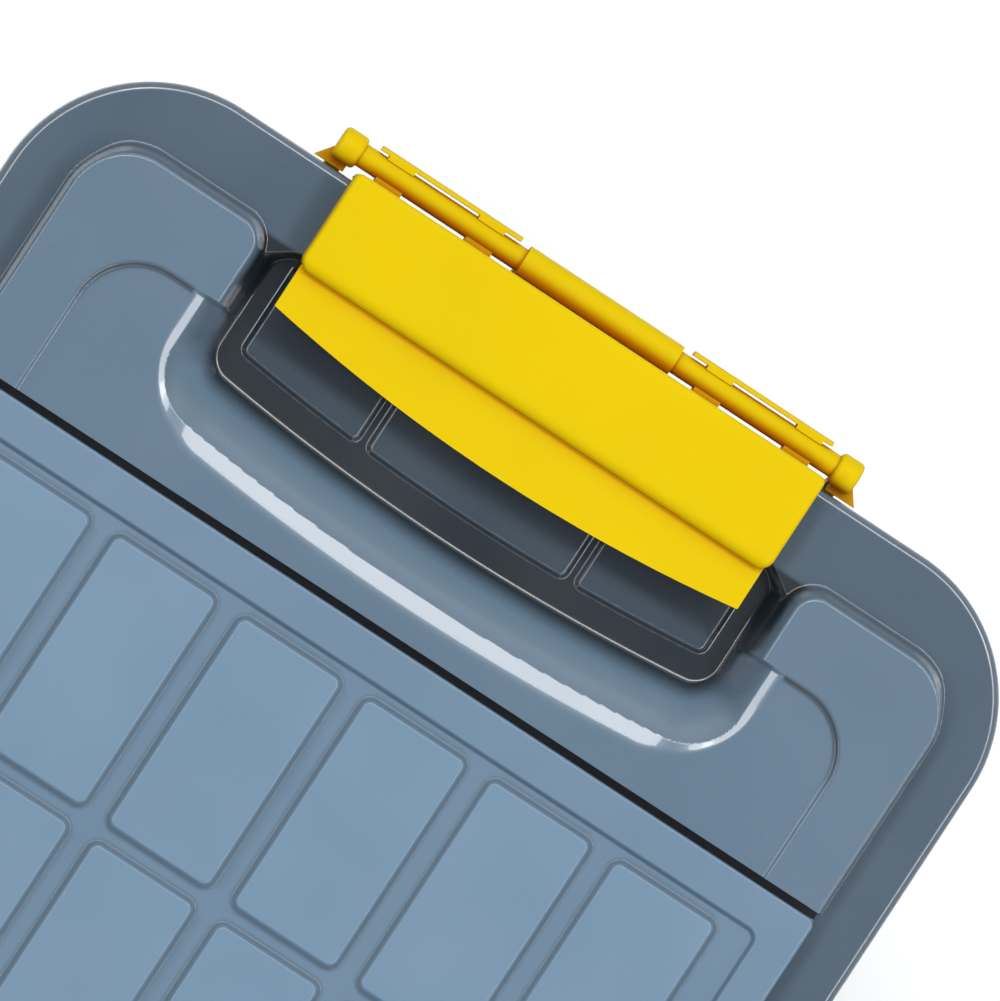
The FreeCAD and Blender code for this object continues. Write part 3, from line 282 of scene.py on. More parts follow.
def leaf_mesh(x_lines, y_lines, height, keep, snap, tolerance=0.02, block=16, tone=None):
    """A mesh of a height over a fine grid of lines, with large faces where it is flat and even.

    keep(x, y) is positive where the surface exists, and snap(x, y) moves points past the edge on
    to it. An optional function gives the painted shade, and large faces keep to an even shade.
    """
    xs, ys = np.meshgrid(x_lines, y_lines, indexing="ij")
    kept = keep(xs, ys)
    sx, sy = snap(xs, ys)
    z = height(sx, sy)
    nudge = 0.08
    slope_x = (height(sx + nudge, sy) - height(sx - nudge, sy)) / (2 * nudge)
    slope_y = (height(sx, sy + nudge) - height(sx, sy - nudge)) / (2 * nudge)
    tests = [(z, tolerance), (slope_x, SLOPE_TOLERANCE), (slope_y, SLOPE_TOLERANCE)]
    if tone is not None:
        tests.append((tone(sx, sy), PAINTED_SHADE_TOLERANCE))
    used = np.zeros(z.shape, bool)
    leaves = []

    def flat_enough(i, j, n):
        t = np.linspace(0.0, 1.0, n + 1)
        for values, limit in tests:
            part = values[i : i + n + 1, j : j + n + 1]
            low = part[0, 0] * (1 - t) + part[0, -1] * t
            high = part[-1, 0] * (1 - t) + part[-1, -1] * t
            plane = low[None, :] * (1 - t)[:, None] + high[None, :] * t[:, None]
            if np.abs(part - plane).max() > limit:
                return False
        return True

    def split(i, j, n):
        part = kept[i : i + n + 1, j : j + n + 1]
        if part.max() <= 0.0:
            return
        if n > 1 and (part.min() <= 0.0 or not flat_enough(i, j, n)):
            half = n // 2
            for a in (i, i + half):
                for b in (j, j + half):
                    split(a, b, half)
            return
        if n == 1 and part.mean() <= 0.0:
            return
        leaves.append((i, j, n))
        used[i, j] = used[i + n, j] = used[i, j + n] = used[i + n, j + n] = True

    for i in range(0, len(x_lines) - 1, block):
        for j in range(0, len(y_lines) - 1, block):
            split(i, j, block)

    index = np.full(z.shape, -1)
    index[used] = np.arange(used.sum())
    faces = []
    for i, j, n in leaves:
        ring = [(i + k, j) for k in range(n)]
        ring += [(i + n, j + k) for k in range(n)]
        ring += [(i + n - k, j + n) for k in range(n)]
        ring += [(i, j + n - k) for k in range(n)]
        faces.append([int(index[p]) for p in ring if used[p]])
    points = np.stack([sx[used], sy[used], z[used]], axis=1)
    normals = np.stack([-slope_x[used], -slope_y[used], np.ones(len(points))], axis=1)
    normals /= np.linalg.norm(normals, axis=1)[:, None]
    return points, normals, faces


def boundary_loops(faces):
    """The open edges of a set of faces, each as (from, to) in the faces' direction."""
    seen = {}
    for face in faces:
        for a, b in zip(face, face[1:] + face[:1]):
            seen[(a, b)] = seen.get((a, b), 0) + 1
    return [(a, b) for (a, b) in seen if (b, a) not in seen]


def build(name, points, normals, faces, material, body):
    """Makes a mesh object, in metres, from points in millimetres with their own normals."""
    mesh = bpy.data.meshes.new(name)
    mesh.from_pydata((np.asarray(points) * MM).tolist(), [], faces)
    mesh.materials.append(material)
    mesh.shade_smooth()
    if normals is not None:
        mesh.normals_split_custom_set_from_vertices(np.asarray(normals).tolist())
    thing = bpy.data.objects.new(name, mesh)
    bpy.context.scene.collection.objects.link(thing)
    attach(thing, body)
    return thing


# ---------------------------------------------------------------- materials


def new_material(name):
    """A material with its node tree and its main shader."""
    material = bpy.data.materials.new(name)
    material.use_nodes = True
    return material, material.node_tree, material.node_tree.nodes["Principled BSDF"]


def node(tree, kind, **settings):
    """Adds a node of a kind and sets its properties."""
    made = tree.nodes.new(kind)
    for key, setting in settings.items():
        setattr(made, key, setting)
    return made


def noise(tree, coords, scale, detail=3.0, roughness=0.5):
    """A noise texture that is fixed to the object."""
    made = node(tree, "ShaderNodeTexNoise")
    made.inputs["Scale"].default_value = scale
    made.inputs["Detail"].default_value = detail
    made.inputs["Roughness"].default_value = roughness
    tree.links.new(coords.outputs["Object"], made.inputs["Vector"])
    return made


def ramp(tree, source, low, high, start=0.3, end=0.7):
    """A colour ramp between two colours or greys."""
    made = node(tree, "ShaderNodeValToRGB")
    made.color_ramp.elements[0].position = start
    made.color_ramp.elements[1].position = end
    made.color_ramp.elements[0].color = low
    made.color_ramp.elements[1].color = high
    tree.links.new(source, made.inputs["Fac"])
    return made


def grey(level):
    """An opaque grey."""
    return (level, level, level, 1.0)


def plastic(
    name,
    colour,
    roughness,
    mottle=0.06,
    grain=0.02,
    waviness=0.04,
    coat=0.0,
    tone=False,
    crease_shade=None,
    shine=0.5,
):
    """Moulded plastic: slightly uneven colour, faint flow waves and a fine mould grain.

    The mesh's painted shade can be multiplied into the colour, and the hollows that ambient
    occlusion finds can be painted in a shade colour.
    """
    material, tree, shader = new_material(name)
    links = tree.links
    coords = node(tree, "ShaderNodeTexCoord")
    clouds = noise(tree, coords, 18.0, 4.0)
    low = tuple(c * (1.0 - mottle) for c in colour) + (1.0,)
    high = tuple(min(1.0, c * (1.0 + mottle)) for c in colour) + (1.0,)
    tint = ramp(tree, clouds.outputs["Fac"], low, high)
    colour_out = tint.outputs["Color"]
    if tone:
        # The mesh's painted shade, kept as a colour attribute, multiplies the colour.
        shade = node(tree, "ShaderNodeAttribute", attribute_name="tone")
        mix = node(tree, "ShaderNodeMix", data_type="RGBA", blend_type="MULTIPLY")
        mix.inputs["Factor"].default_value = 1.0
        links.new(colour_out, mix.inputs[6])
        links.new(shade.outputs["Color"], mix.inputs[7])
        colour_out = mix.outputs[2]
    # Painted shade: hollows found by ambient occlusion are painted towards a dark orange.
    if crease_shade:
        nearby = node(tree, "ShaderNodeAmbientOcclusion", samples=8)
        nearby.inputs["Distance"].default_value = 0.007
        share = ramp(tree, nearby.outputs["AO"], grey(1.0), grey(0.0), 0.4, 0.92)
        crease_shade_mix = node(tree, "ShaderNodeMix", data_type="RGBA")
        links.new(share.outputs["Color"], crease_shade_mix.inputs["Factor"])
        links.new(colour_out, crease_shade_mix.inputs[6])
        crease_shade_mix.inputs[7].default_value = crease_shade + (1.0,)
        colour_out = crease_shade_mix.outputs[2]
    links.new(colour_out, shader.inputs["Base Color"])
    smudge = noise(tree, coords, 24.0, 2.0)
    smoothest, roughest = grey(roughness * 0.93), grey(roughness * 1.09)
    rough = ramp(tree, smudge.outputs["Fac"], smoothest, roughest, 0.35, 0.7)
    links.new(rough.outputs["Color"], shader.inputs["Roughness"])
    waves = noise(tree, coords, 30.0, 2.0)
    fine = noise(tree, coords, 900.0, 2.0)
    flow = node(tree, "ShaderNodeBump")
    flow.inputs["Strength"].default_value = waviness
    flow.inputs["Distance"].default_value = 0.002
    links.new(waves.outputs["Fac"], flow.inputs["Height"])
    bump = node(tree, "ShaderNodeBump")
    bump.inputs["Strength"].default_value = grain
    bump.inputs["Distance"].default_value = 0.0002
    links.new(fine.outputs["Fac"], bump.inputs["Height"])
    links.new(flow.outputs["Normal"], bump.inputs["Normal"])
    links.new(bump.outputs["Normal"], shader.inputs["Normal"])
    shader.inputs["IOR"].default_value = 1.55
    shader.inputs["Specular IOR Level"].default_value = shine
    shader.inputs["Coat Weight"].default_value = coat
    shader.inputs["Coat Roughness"].default_value = 0.05
    shader.inputs["Coat IOR"].default_value = 1.6
    return material


def steel(name):
    """Drawn steel rod with fine lines along it."""
    material, tree, shader = new_material(name)
    coords = node(tree, "ShaderNodeTexCoord")
    lines = noise(tree, coords, 420.0, 5.0, 0.7)
    tint = ramp(tree, lines.outputs["Fac"], grey(0.36), grey(0.62))
    rough = ramp(tree, lines.outputs["Fac"], grey(0.22), grey(0.42))
    tree.links.new(tint.outputs["Color"], shader.inputs["Base Color"])
    tree.links.new(rough.outputs["Color"], shader.inputs["Roughness"])
    shader.inputs["Metallic"].default_value = 1.0
    return material


def rubber(name):
    """Black rubber with a fine, matt grain."""
    material, tree, shader = new_material(name)
    coords = node(tree, "ShaderNodeTexCoord")
    clouds = noise(tree, coords, 60.0, 5.0)
    tint = ramp(tree, clouds.outputs["Fac"], grey(0.014), grey(0.032))
    rough = ramp(tree, clouds.outputs["Fac"], grey(0.6), grey(0.85))
    fine = noise(tree, coords, 1400.0, 2.0)
    bump = node(tree, "ShaderNodeBump")
    bump.inputs["Strength"].default_value = 0.25
    bump.inputs["Distance"].default_value = 0.0003
    tree.links.new(tint.outputs["Color"], shader.inputs["Base Color"])
    tree.links.new(rough.outputs["Color"], shader.inputs["Roughness"])
    tree.links.new(fine.outputs["Fac"], bump.inputs["Height"])
    tree.links.new(bump.outputs["Normal"], shader.inputs["Normal"])
    return material


LID_COLOUR = (0.079, 0.123, 0.17)
HATCH_COLOUR = (0.098, 0.165, 0.238)
TUB_COLOUR = (0.04, 0.065, 0.1)
TRAY_COLOUR = (0.03, 0.036, 0.045)
YELLOW = (0.5, 0.353, 0.0002)
# Painted shade colour for the latch's hollows.
CREASE_SHADE = (0.4, 0.13, 0.0003)

# The lid and the hatch are multiplied by their meshes' painted shade.
lid_plastic = plastic("lid_plastic", LID_COLOUR, 0.28, mottle=0.03, coat=0.65, tone=True)
hatch_plastic = plastic("hatch_plastic", HATCH_COLOUR, 0.4, mottle=0.03, coat=0.05, tone=True)
tub_plastic = plastic("tub_plastic", TUB_COLOUR, 0.42, grain=0.12, waviness=0.06)
# The latch's hollows are painted orange as shade.
latch_plastic = plastic(
    "latch_plastic", YELLOW, 0.5, mottle=0.02, grain=0.03, waviness=0.03, crease_shade=CREASE_SHADE, shine=0.04
)
tray_plastic = plastic("tray_plastic", TRAY_COLOUR, 0.45, grain=0.15, waviness=0.05)
pin_steel = steel("pin_steel")
black_rubber = rubber("black_rubber")

SLOT_MATERIALS = {
    "lid": lid_plastic,
    "tub": tub_plastic,
    "latch": latch_plastic,
    "tray": tray_plastic,
    "steel": pin_steel,
    "rubber": black_rubber,
}
for entry in frame["record"]["subparts"]:
    thing = nodes[entry["node"]]
    for place in thing.material_slots:
        place.material = SLOT_MATERIALS[entry["material_slot"]]


# ---------------------------------------------------------------- pieces made of several patches


class Shell:
    """Gathers patches of points, normals, faces and painted shades, then makes one mesh of them."""

    def __init__(self):
        self.points, self.normals, self.tones, self.faces = [], [], [], []
        self.count = 0

    def add(self, points, normals, faces, tones=1.0):
        """Adds a patch whose faces count its own points from 0."""
        points = np.asarray(points, float)
        self.points.append(points)
        self.normals.append(np.asarray(normals, float))
        self.tones.append(np.broadcast_to(np.asarray(tones, float), (len(points),)))
        self.faces.extend([[i + self.count for i in face] for face in faces])
        self.count += len(points)

    def wall(self, edges, bottom, normal_at=None, tones=1.0):
        """An upright wall from each (from, to) edge down to a level."""
        points, normals, faces = [], [], []
        for first, last in edges:
            along = last - first
            normal = np.array([along[1], -along[0], 0.0])
            normal /= max(np.linalg.norm(normal), 1e-9)
            base = len(points)
            for point in (first, last):
                facing = normal if normal_at is None else normal_at(point[0], point[1])
                points += [point, np.array([point[0], point[1], bottom])]
                normals += [facing, facing]
            faces.append([base, base + 1, base + 3, base + 2])
        if points:
            self.add(points, normals, faces, tones)

    def rounded_box(self, low, high, radius, tones=1.0, steps=3):
        """A box with all its edges rounded."""
        low, high = np.array(low, float), np.array(high, float)
        middle = (low + high) / 2
        half = (high - low) / 2
        turns = np.linspace(0.0, math.pi / 2, steps + 1)
        inward, outward = radius * np.cos(turns), radius * np.sin(turns)
        across = [np.concatenate([-h + radius - inward, h - radius + outward]) for h in half]
        for axis in range(3):
            a, b = [k for k in range(3) if k != axis]
            for sign in (-1.0, 1.0):
                u, v = np.meshgrid(across[a], across[b], indexing="ij")
                count = u.shape
                points = np.zeros(count + (3,))
                points[..., a] = u
                points[..., b] = v
                points[..., axis] = sign * half[axis]
                core = np.clip(points, -(half - radius), half - radius)
                away = points - core
                away /= np.maximum(np.linalg.norm(away, axis=-1), 1e-9)[..., None]
                placed = core + away * radius
                faces = []
                for i in range(count[0] - 1):
                    for j in range(count[1] - 1):
                        ring = [i * count[1] + j, (i + 1) * count[1] + j]
                        ring += [(i + 1) * count[1] + j + 1, i * count[1] + j + 1]
                        faces.append(ring if (sign > 0) == (axis != 1) else ring[::-1])
                self.add((placed + middle).reshape(-1, 3), away.reshape(-1, 3), faces, tones)

    def bar(self, start, length, radius, rounding=0.5, tones=1.0, around=40):
        """A round bar along X from its start, with its ends' edges rounded."""
        turns = np.linspace(0.0, math.pi / 2, 4)
        stations = [(0.0, 0.0, -1.0, 0.0), (0.0, radius - rounding, -1.0, 0.0)]
        for turn in turns:
            stations.append(
                (
                    rounding - rounding * math.cos(turn),
                    radius - rounding + rounding * math.sin(turn),
                    -math.cos(turn),
                    math.sin(turn),
                )
            )
        stations += [(length - x, r, -nx, nr) for x, r, nx, nr in reversed(stations)]
        points, normals, faces = [], [], []
        for x, r, nx, nr in stations:
            for k in range(around):
                angle = 2 * math.pi * k / around
                y, z = math.cos(angle), math.sin(angle)
                points.append([start[0] + x, start[1] + r * y, start[2] + r * z])
                normals.append([nx, nr * y, nr * z])
        for i in range(len(stations) - 1):
            for k in range(around):
                after = (k + 1) % around
                here, there = i * around, (i + 1) * around
                faces.append([here + k, there + k, there + after, here + after])
        self.add(points, normals, [face[::-1] for face in faces], tones)

    def make(self, name, material, body, cad_node):
        """Makes the mesh in place of a CAD node, with its painted shade as a colour attribute."""
        points, normals = np.concatenate(self.points), np.concatenate(self.normals)
        thing = build(name, points, normals, self.faces, material, body)
        tones = np.concatenate(self.tones)
        # The painted shade is kept as a colour attribute.
        layer = thing.data.color_attributes.new("tone", "FLOAT_COLOR", "POINT")
        colours = np.ones((len(tones), 4), np.float32)
        colours[:, :3] = tones[:, None]
        layer.data.foreach_set("color", colours.ravel())
        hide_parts(cad_node)
        return thing


def open_edges(patch, wanted):
    """The open edges of a patch whose middle point is wanted."""
    points, _normals, faces = patch
    chosen = []
    for a, b in boundary_loops(faces):
        middle = (points[a] + points[b]) / 2
        if wanted(middle):
            chosen.append((points[a], points[b]))
    return chosen


# ---------------------------------------------------------------- the lid frame


def lid_painted_shade(s, u):
    """Painted shade on flange, recess and step line, and painted light on the recess's slope and
    pads.
    """
    # The flange is painted darker than the plateau, as shade.
    plateau = inside_corner(s - FLANGE_END, PLATEAU_SIDE - u, PLATEAU_CORNER)
    tone = FLANGE_SHADE + (1.0 - FLANGE_SHADE) * smooth((plateau + 1.0) / 2.0)

    # Painted shade in the recess, growing with depth under the flange.
    height = lid_height(s, u) - FLANGE
    between_horns = smooth((STEP_START + 4.0 - s) / 8.0)
    shade_top = -3.0 + 11.0 * between_horns
    inside = smooth((s - FLANGE_END + 1.0) / 2.0) * smooth((MOUTH_SIDE + 3.0 - u) / 3.0)
    shade = smooth((shade_top - height) / 7.0) * inside

    # A painted shadow line along the step.
    step = inside_corner(s - STEP_START, STEP_SIDE - u, STEP_CORNER)
    line = smooth((step + 1.2) / 1.2) * smooth((2.2 - step) / 1.2)
    line = line * smooth(1.4 - (s - STEP_START) / STEP_CORNER)
    line = line * (mouth_distance(s, u) < 0.5)

    # Painted light on the recess's slope, turning to painted shade near its sides.
    slope = smooth(brow_distance(s, u) / 4.0) * smooth((s - STEP_START) / 4.0)
    side = smooth((u - 88.0) / 12.0) * smooth((FLOOR_REACH - s) / 12.0)
    slope = slope * (1.0 - 3.0 * side)

    # The recess is painted in shade, eased off on its pads.
    tone = tone * (1.0 - (RECESS_SHADE - PAD_LIGHT * pad_share(s, u)) * shade)
    # The step's painted shadow line and the slope's painted light.
    return tone * (1.0 - LINE_SHADE * line) * (1.0 + SLOPE_LIGHT * slope)


def grid_lines(low, high, step, block=16):
    """Evenly spaced lines whose number of spaces is a multiple of block."""
    count = block * max(1, round((high - low) / (step * block)))
    return np.linspace(low, high, count + 1)


def close_lines(low, high, places, reach, fine, coarse, block=8):
    """Lines that are close together near some places and far apart elsewhere."""
    lines = [low]
    while lines[-1] < high - fine / 2:
        near = min(abs(lines[-1] - place) for place in places)
        pace = fine if near < reach else min(coarse, max(fine, near - reach + fine))
        lines.append(min(lines[-1] + pace, high))
    short = -(len(lines) - 1) % block
    lines = list(lines)
    for _ in range(short):
        widest = int(np.argmax(np.diff(lines)))
        lines.insert(widest + 1, (lines[widest] + lines[widest + 1]) / 2)
    return np.array(lines)


def snap_to(distance):
    """Makes a function that moves points outside a distance's zero line on to it."""
    step = 0.05

    def snap(x, y):
        past = np.minimum(distance(x, y), 0.0)
        dx = (distance(x + step, y) - distance(x - step, y)) / (2 * step)
        dy = (distance(x, y + step) - distance(x, y - step)) / (2 * step)
        return x - past * dx, y - past * dy

    return snap


def facing(distance):
    """Makes a function that gives the outward direction of a distance's zero line."""
    step = 0.05

    def direction(x, y):
        dx = distance(x + step, y) - distance(x - step, y)
        dy = distance(x, y + step) - distance(x, y - step)
        normal = np.array([-dx, -dy, 0.0])
        return normal / max(np.linalg.norm(normal), 1e-9)

    return direction


def outline_at(x, y):
    """Distance inside the lid's outline, at a place on the lid."""
    return outline_distance(LID_END - np.abs(x), np.abs(y))


def inner_outline_at(x, y):
    """Distance inside the skirt's inner face, at a place on the lid."""
    return outline_at(x, y) - WALL


def lid_surface(x, y):
    """Height of the lid's upper face, at a place on the lid."""
    return lid_height(LID_END - np.abs(x), np.abs(y))


def painted_shade_at(x, y):
    """The lid's painted shade, at a place on the lid."""
    return lid_painted_shade(LID_END - np.abs(x), np.abs(y))


def lid_underside(x, y):
    """Height of the lid's lower face, a wall's thickness under the upper one."""
    return np.minimum(lid_surface(x, y), FLANGE + RISE - STEP_DEPTH) - WALL


def side_flange(x, y):
    """The flange alone, along the hatch's sides and under its edges."""
    return FLANGE - RIM_ROUND + round_edge(LID_SIDE - np.abs(y), RIM_ROUND)


def around_opening(x, y):
    """Positive outside the opening under the hatch."""
    opening_x = LID_END - GAP_START - LEDGE
    opening_y = PLATEAU_SIDE - LEDGE
    return -np.minimum(opening_x - np.abs(x), opening_y - np.abs(y))


def unmoved(x, y):
    """Leaves points where they are."""
    return x, y


def make_lid():
    """The lid frame: two ends, the flange along its sides, its skirt and its hinge knuckles."""
    shell = Shell()
    gap_x = LID_END - GAP_START
    y_lines = grid_lines(-LID_SIDE, LID_SIDE, LID_GRID)
    for low, high in ((gap_x, LID_END), (-LID_END, -gap_x)):
        x_lines = grid_lines(low, high, LID_GRID)
        patch = leaf_mesh(
            x_lines,
            y_lines,
            lid_surface,
            lambda x, y: outline_at(x, y) + 0.2,
            snap_to(outline_at),
            tone=painted_shade_at,
        )
        # Each point of the ends carries the painted shade of its place.
        shell.add(*patch, painted_shade_at(patch[0][:, 0], patch[0][:, 1]))
        rim = open_edges(patch, lambda p: outline_at(p[0], p[1]) < 0.3)
        # The skirt's outer face is painted as dark as the flange.
        shell.wall(rim, SKIRT_BOTTOM, facing(outline_at), FLANGE_SHADE)
        # The gap's walls are painted dark, as shade.
        gap = open_edges(patch, lambda p: abs(abs(p[0]) - gap_x) < 0.2 and p[2] > FLANGE + 0.5)
        shell.wall(gap, FLANGE - 0.1, None, GAP_SHADE)

        under = leaf_mesh(
            grid_lines(low, high, UNDER_GRID, 4),
            grid_lines(-LID_SIDE, LID_SIDE, UNDER_GRID, 4),
            lid_underside,
            inner_outline_at,
            snap_to(inner_outline_at),
            0.1,
            4,
        )
        # The lid's underside is painted darker, as shade.
        shell.add(under[0], -under[1], [face[::-1] for face in under[2]], UNDER_SHADE)

    side_lines = close_lines(-LID_SIDE, LID_SIDE, [-LID_SIDE, LID_SIDE], 4.0, 0.5, 8.0)
    opening_y = PLATEAU_SIDE - LEDGE
    edges = [opening_y, PLATEAU_SIDE, PLATEAU_SIDE + 0.1]
    edges = [sign * edge for sign in (-1, 1) for edge in edges]
    side_lines = np.unique(np.append(side_lines, edges))
    opening_x = gap_x - LEDGE
    flat_x = np.array([-gap_x, -opening_x, opening_x, gap_x])
    middle = leaf_mesh(flat_x, side_lines, side_flange, around_opening, unmoved, 0.02, 1)
    # The ledge under the hatch's edges is painted almost black, as shade, and the rest of the
    # flange darker.
    on_ledge = np.abs(middle[0][:, 1]) < PLATEAU_SIDE + 0.05
    shell.add(*middle, np.where(on_ledge, LEDGE_SHADE, FLANGE_SHADE))
    # The side skirt is painted as dark as the flange.
    rim = open_edges(middle, lambda p: abs(p[1]) > LID_SIDE - 0.3)
    shell.wall(rim, SKIRT_BOTTOM, facing(outline_at), FLANGE_SHADE)
    # The opening's inner walls are painted darker, as shade.
    inside = open_edges(middle, lambda p: around_opening(p[0], p[1]) < 0.5)
    shell.wall(inside, FLANGE - 3.0, None, UNDER_SHADE)
    skirt_foot(shell)
    lid_knuckles(shell)
    return shell.make("lid_shell", lid_plastic, "case", "lid_frame")


def outline_ring(inset, count=24):
    """Points along the lid's outline, moved inward."""
    radius = LID_CORNER - inset
    points = []
    for quarter, (cx, cy) in enumerate(((1, 1), (-1, 1), (-1, -1), (1, -1))):
        for k in range(count + 1):
            angle = math.pi / 2 * (quarter + k / count)
            x = cx * (LID_END - LID_CORNER) + radius * math.cos(angle)
            y = cy * (LID_SIDE - LID_CORNER) + radius * math.sin(angle)
            points.append((x, y, math.cos(angle), math.sin(angle)))
    return points


def skirt_foot(shell):
    """The skirt's lower edge, its inner wall, and the flange's underside along the sides."""
    outer = outline_ring(0.0)
    inner = outline_ring(WALL)
    count = len(outer)
    top = FLANGE - 3.0
    # The skirt's foot and inner wall are painted as dark as the flange.
    foot = [(x, y, SKIRT_BOTTOM) for x, y, _nx, _ny in inner]
    after = [(k + 1) % count for k in range(count)]
    faces = [[count + k, count + after[k], after[k], k] for k in range(count)]
    edge = [(x, y, SKIRT_BOTTOM) for x, y, _nx, _ny in outer] + foot
    shell.add(edge, [(0, 0, -1)] * (2 * count), faces, FLANGE_SHADE)
    wall = foot + [(x, y, top) for x, y, _nx, _ny in inner]
    shell.add(wall, [(-nx, -ny, 0) for _x, _y, nx, ny in inner] * 2, faces, FLANGE_SHADE)

    gap_x = LID_END - GAP_START
    side = LID_SIDE - WALL
    opening_x = gap_x - LEDGE
    opening_y = PLATEAU_SIDE - LEDGE
    # The flange's underside is painted darker, as shade.
    for x0, x1, y0, y1 in (
        (-gap_x, gap_x, opening_y, side),
        (-gap_x, gap_x, -side, -opening_y),
        (opening_x, gap_x, -opening_y, opening_y),
        (-gap_x, -opening_x, -opening_y, opening_y),
    ):
        corners = [(x0, y0, top), (x0, y1, top), (x1, y1, top), (x1, y0, top)]
        shell.add(corners, [(0, 0, -1)] * 4, [(0, 1, 2, 3)], UNDER_SHADE)


def lid_knuckles(shell):
    """The lid's halves of the hatch's hinges: knuckles on blocks each side of the hatch's own."""
    for middle in (-HINGE_PLACE, HINGE_PLACE):
        before = middle - HATCH_KNUCKLE - HINGE_GAP - LID_KNUCKLE
        for start in (before, middle + HATCH_KNUCKLE + HINGE_GAP):
            # The lid's knuckles are painted as dark as the flange.
            shell.bar((start, HINGE_Y, HINGE_Z), LID_KNUCKLE, HINGE_RADIUS, 0.6, FLANGE_SHADE)
            low = (start + 0.05, HINGE_Y - HINGE_RADIUS, FLANGE - 1.0)
            high = (start + LID_KNUCKLE - 0.05, HINGE_Y + HINGE_RADIUS, HINGE_Z)
            shell.rounded_box(low, high, 0.6, FLANGE_SHADE)


# ---------------------------------------------------------------- the hatch


def block_distance(x, y):
    """Distance inside the nearest raised block."""
    row = (np.clip(np.round(x / ROW_PITCH - 0.5), -2, 1) + 0.5) * ROW_PITCH
    column = (np.clip(np.round(y / BLOCK_PITCH - 0.5), -3, 2) + 0.5) * BLOCK_PITCH
    end = BLOCK_LENGTH / 2 - np.abs(x - row)
    return inside_corner(end, BLOCK_WIDTH / 2 - np.abs(y - column), BLOCK_CORNER)


def panel_distance(x, y):
    """Distance inside the hatch's outline."""
    return inside_corner(HATCH_END - np.abs(x), HATCH_SIDE - np.abs(y), HATCH_CORNER)


def field_distance(x, y):
    """Distance inside the hatch's sunken field."""
    field_x = HATCH_END - FIELD_INSET - np.abs(x)
    return inside_corner(field_x, HATCH_SIDE - FIELD_INSET - np.abs(y), FIELD_CORNER)


def hatch_height(x, y):
    """Height of the hatch's upper face: a border, a sunken field, and soft-edged blocks on it."""
    drop = EDGE_ROUND - round_edge(panel_distance(x, y), EDGE_ROUND)
    sunk = smooth((field_distance(x, y) + 0.2) / FIELD_SLOPE)
    raised = smooth(block_distance(x, y) / BLOCK_SLOPE + 0.05)
    return TOP_OF_LID - drop - FIELD_DEPTH * sunk + BLOCK_RISE * raised


def hatch_painted_shade(x, y):
    """Painted shade on the hatch: darker in the field and on the border, and most on the sloped
    edges.
    """
    field = field_distance(x, y)
    blocks = block_distance(x, y)
    floor = smooth(field / FIELD_SLOPE) * (1.0 - smooth(blocks / BLOCK_SLOPE))
    slopes = smooth((blocks + 0.8) / 0.8) * smooth((BLOCK_SLOPE - blocks) / 1.2)
    slopes = slopes + smooth((field + 0.4) / 0.8) * smooth((FIELD_SLOPE - field) / 0.8)
    border = 1.0 - smooth((field + 0.4) / 0.8)
    return 1.0 - 0.17 * floor - 0.12 * border - 0.3 * np.minimum(slopes, 1.0)


def make_hatch():
    """The hatch: its panel of blocks, its skirt, its hollow underside, its tab and its knuckles."""
    shell = Shell()
    ends = [-HATCH_END, HATCH_END, -HATCH_END + FIELD_INSET + 1.0, HATCH_END - FIELD_INSET - 1.0]
    both = (-1, 1)
    rows = [(k + 0.5) * ROW_PITCH + side * BLOCK_LENGTH / 2 for k in range(-2, 2) for side in both]
    field_side = HATCH_SIDE - FIELD_INSET - 1.0
    sides = [-HATCH_SIDE, HATCH_SIDE, -HATCH_SIDE + FIELD_INSET + 1.0, field_side]
    half_width = BLOCK_WIDTH / 2
    columns = [(k + 0.5) * BLOCK_PITCH + side * half_width for k in range(-3, 3) for side in both]
    patch = leaf_mesh(
        close_lines(-HATCH_END, HATCH_END, ends + rows, 4.5, 0.4, 12.0),
        close_lines(-HATCH_SIDE, HATCH_SIDE, sides + columns, 4.5, 0.4, 12.0),
        hatch_height,
        lambda x, y: panel_distance(x, y) + 0.05,
        snap_to(panel_distance),
        0.01,
        8,
    )
    # The panel's points carry its painted shade.
    shell.add(*patch, hatch_painted_shade(patch[0][:, 0], patch[0][:, 1]))
    shell.wall(open_edges(patch, lambda p: True), PANEL_BASE, facing(panel_distance))
    under_box(shell)
    return shell.make("hatch_shell", hatch_plastic, "hatch", "hatch")


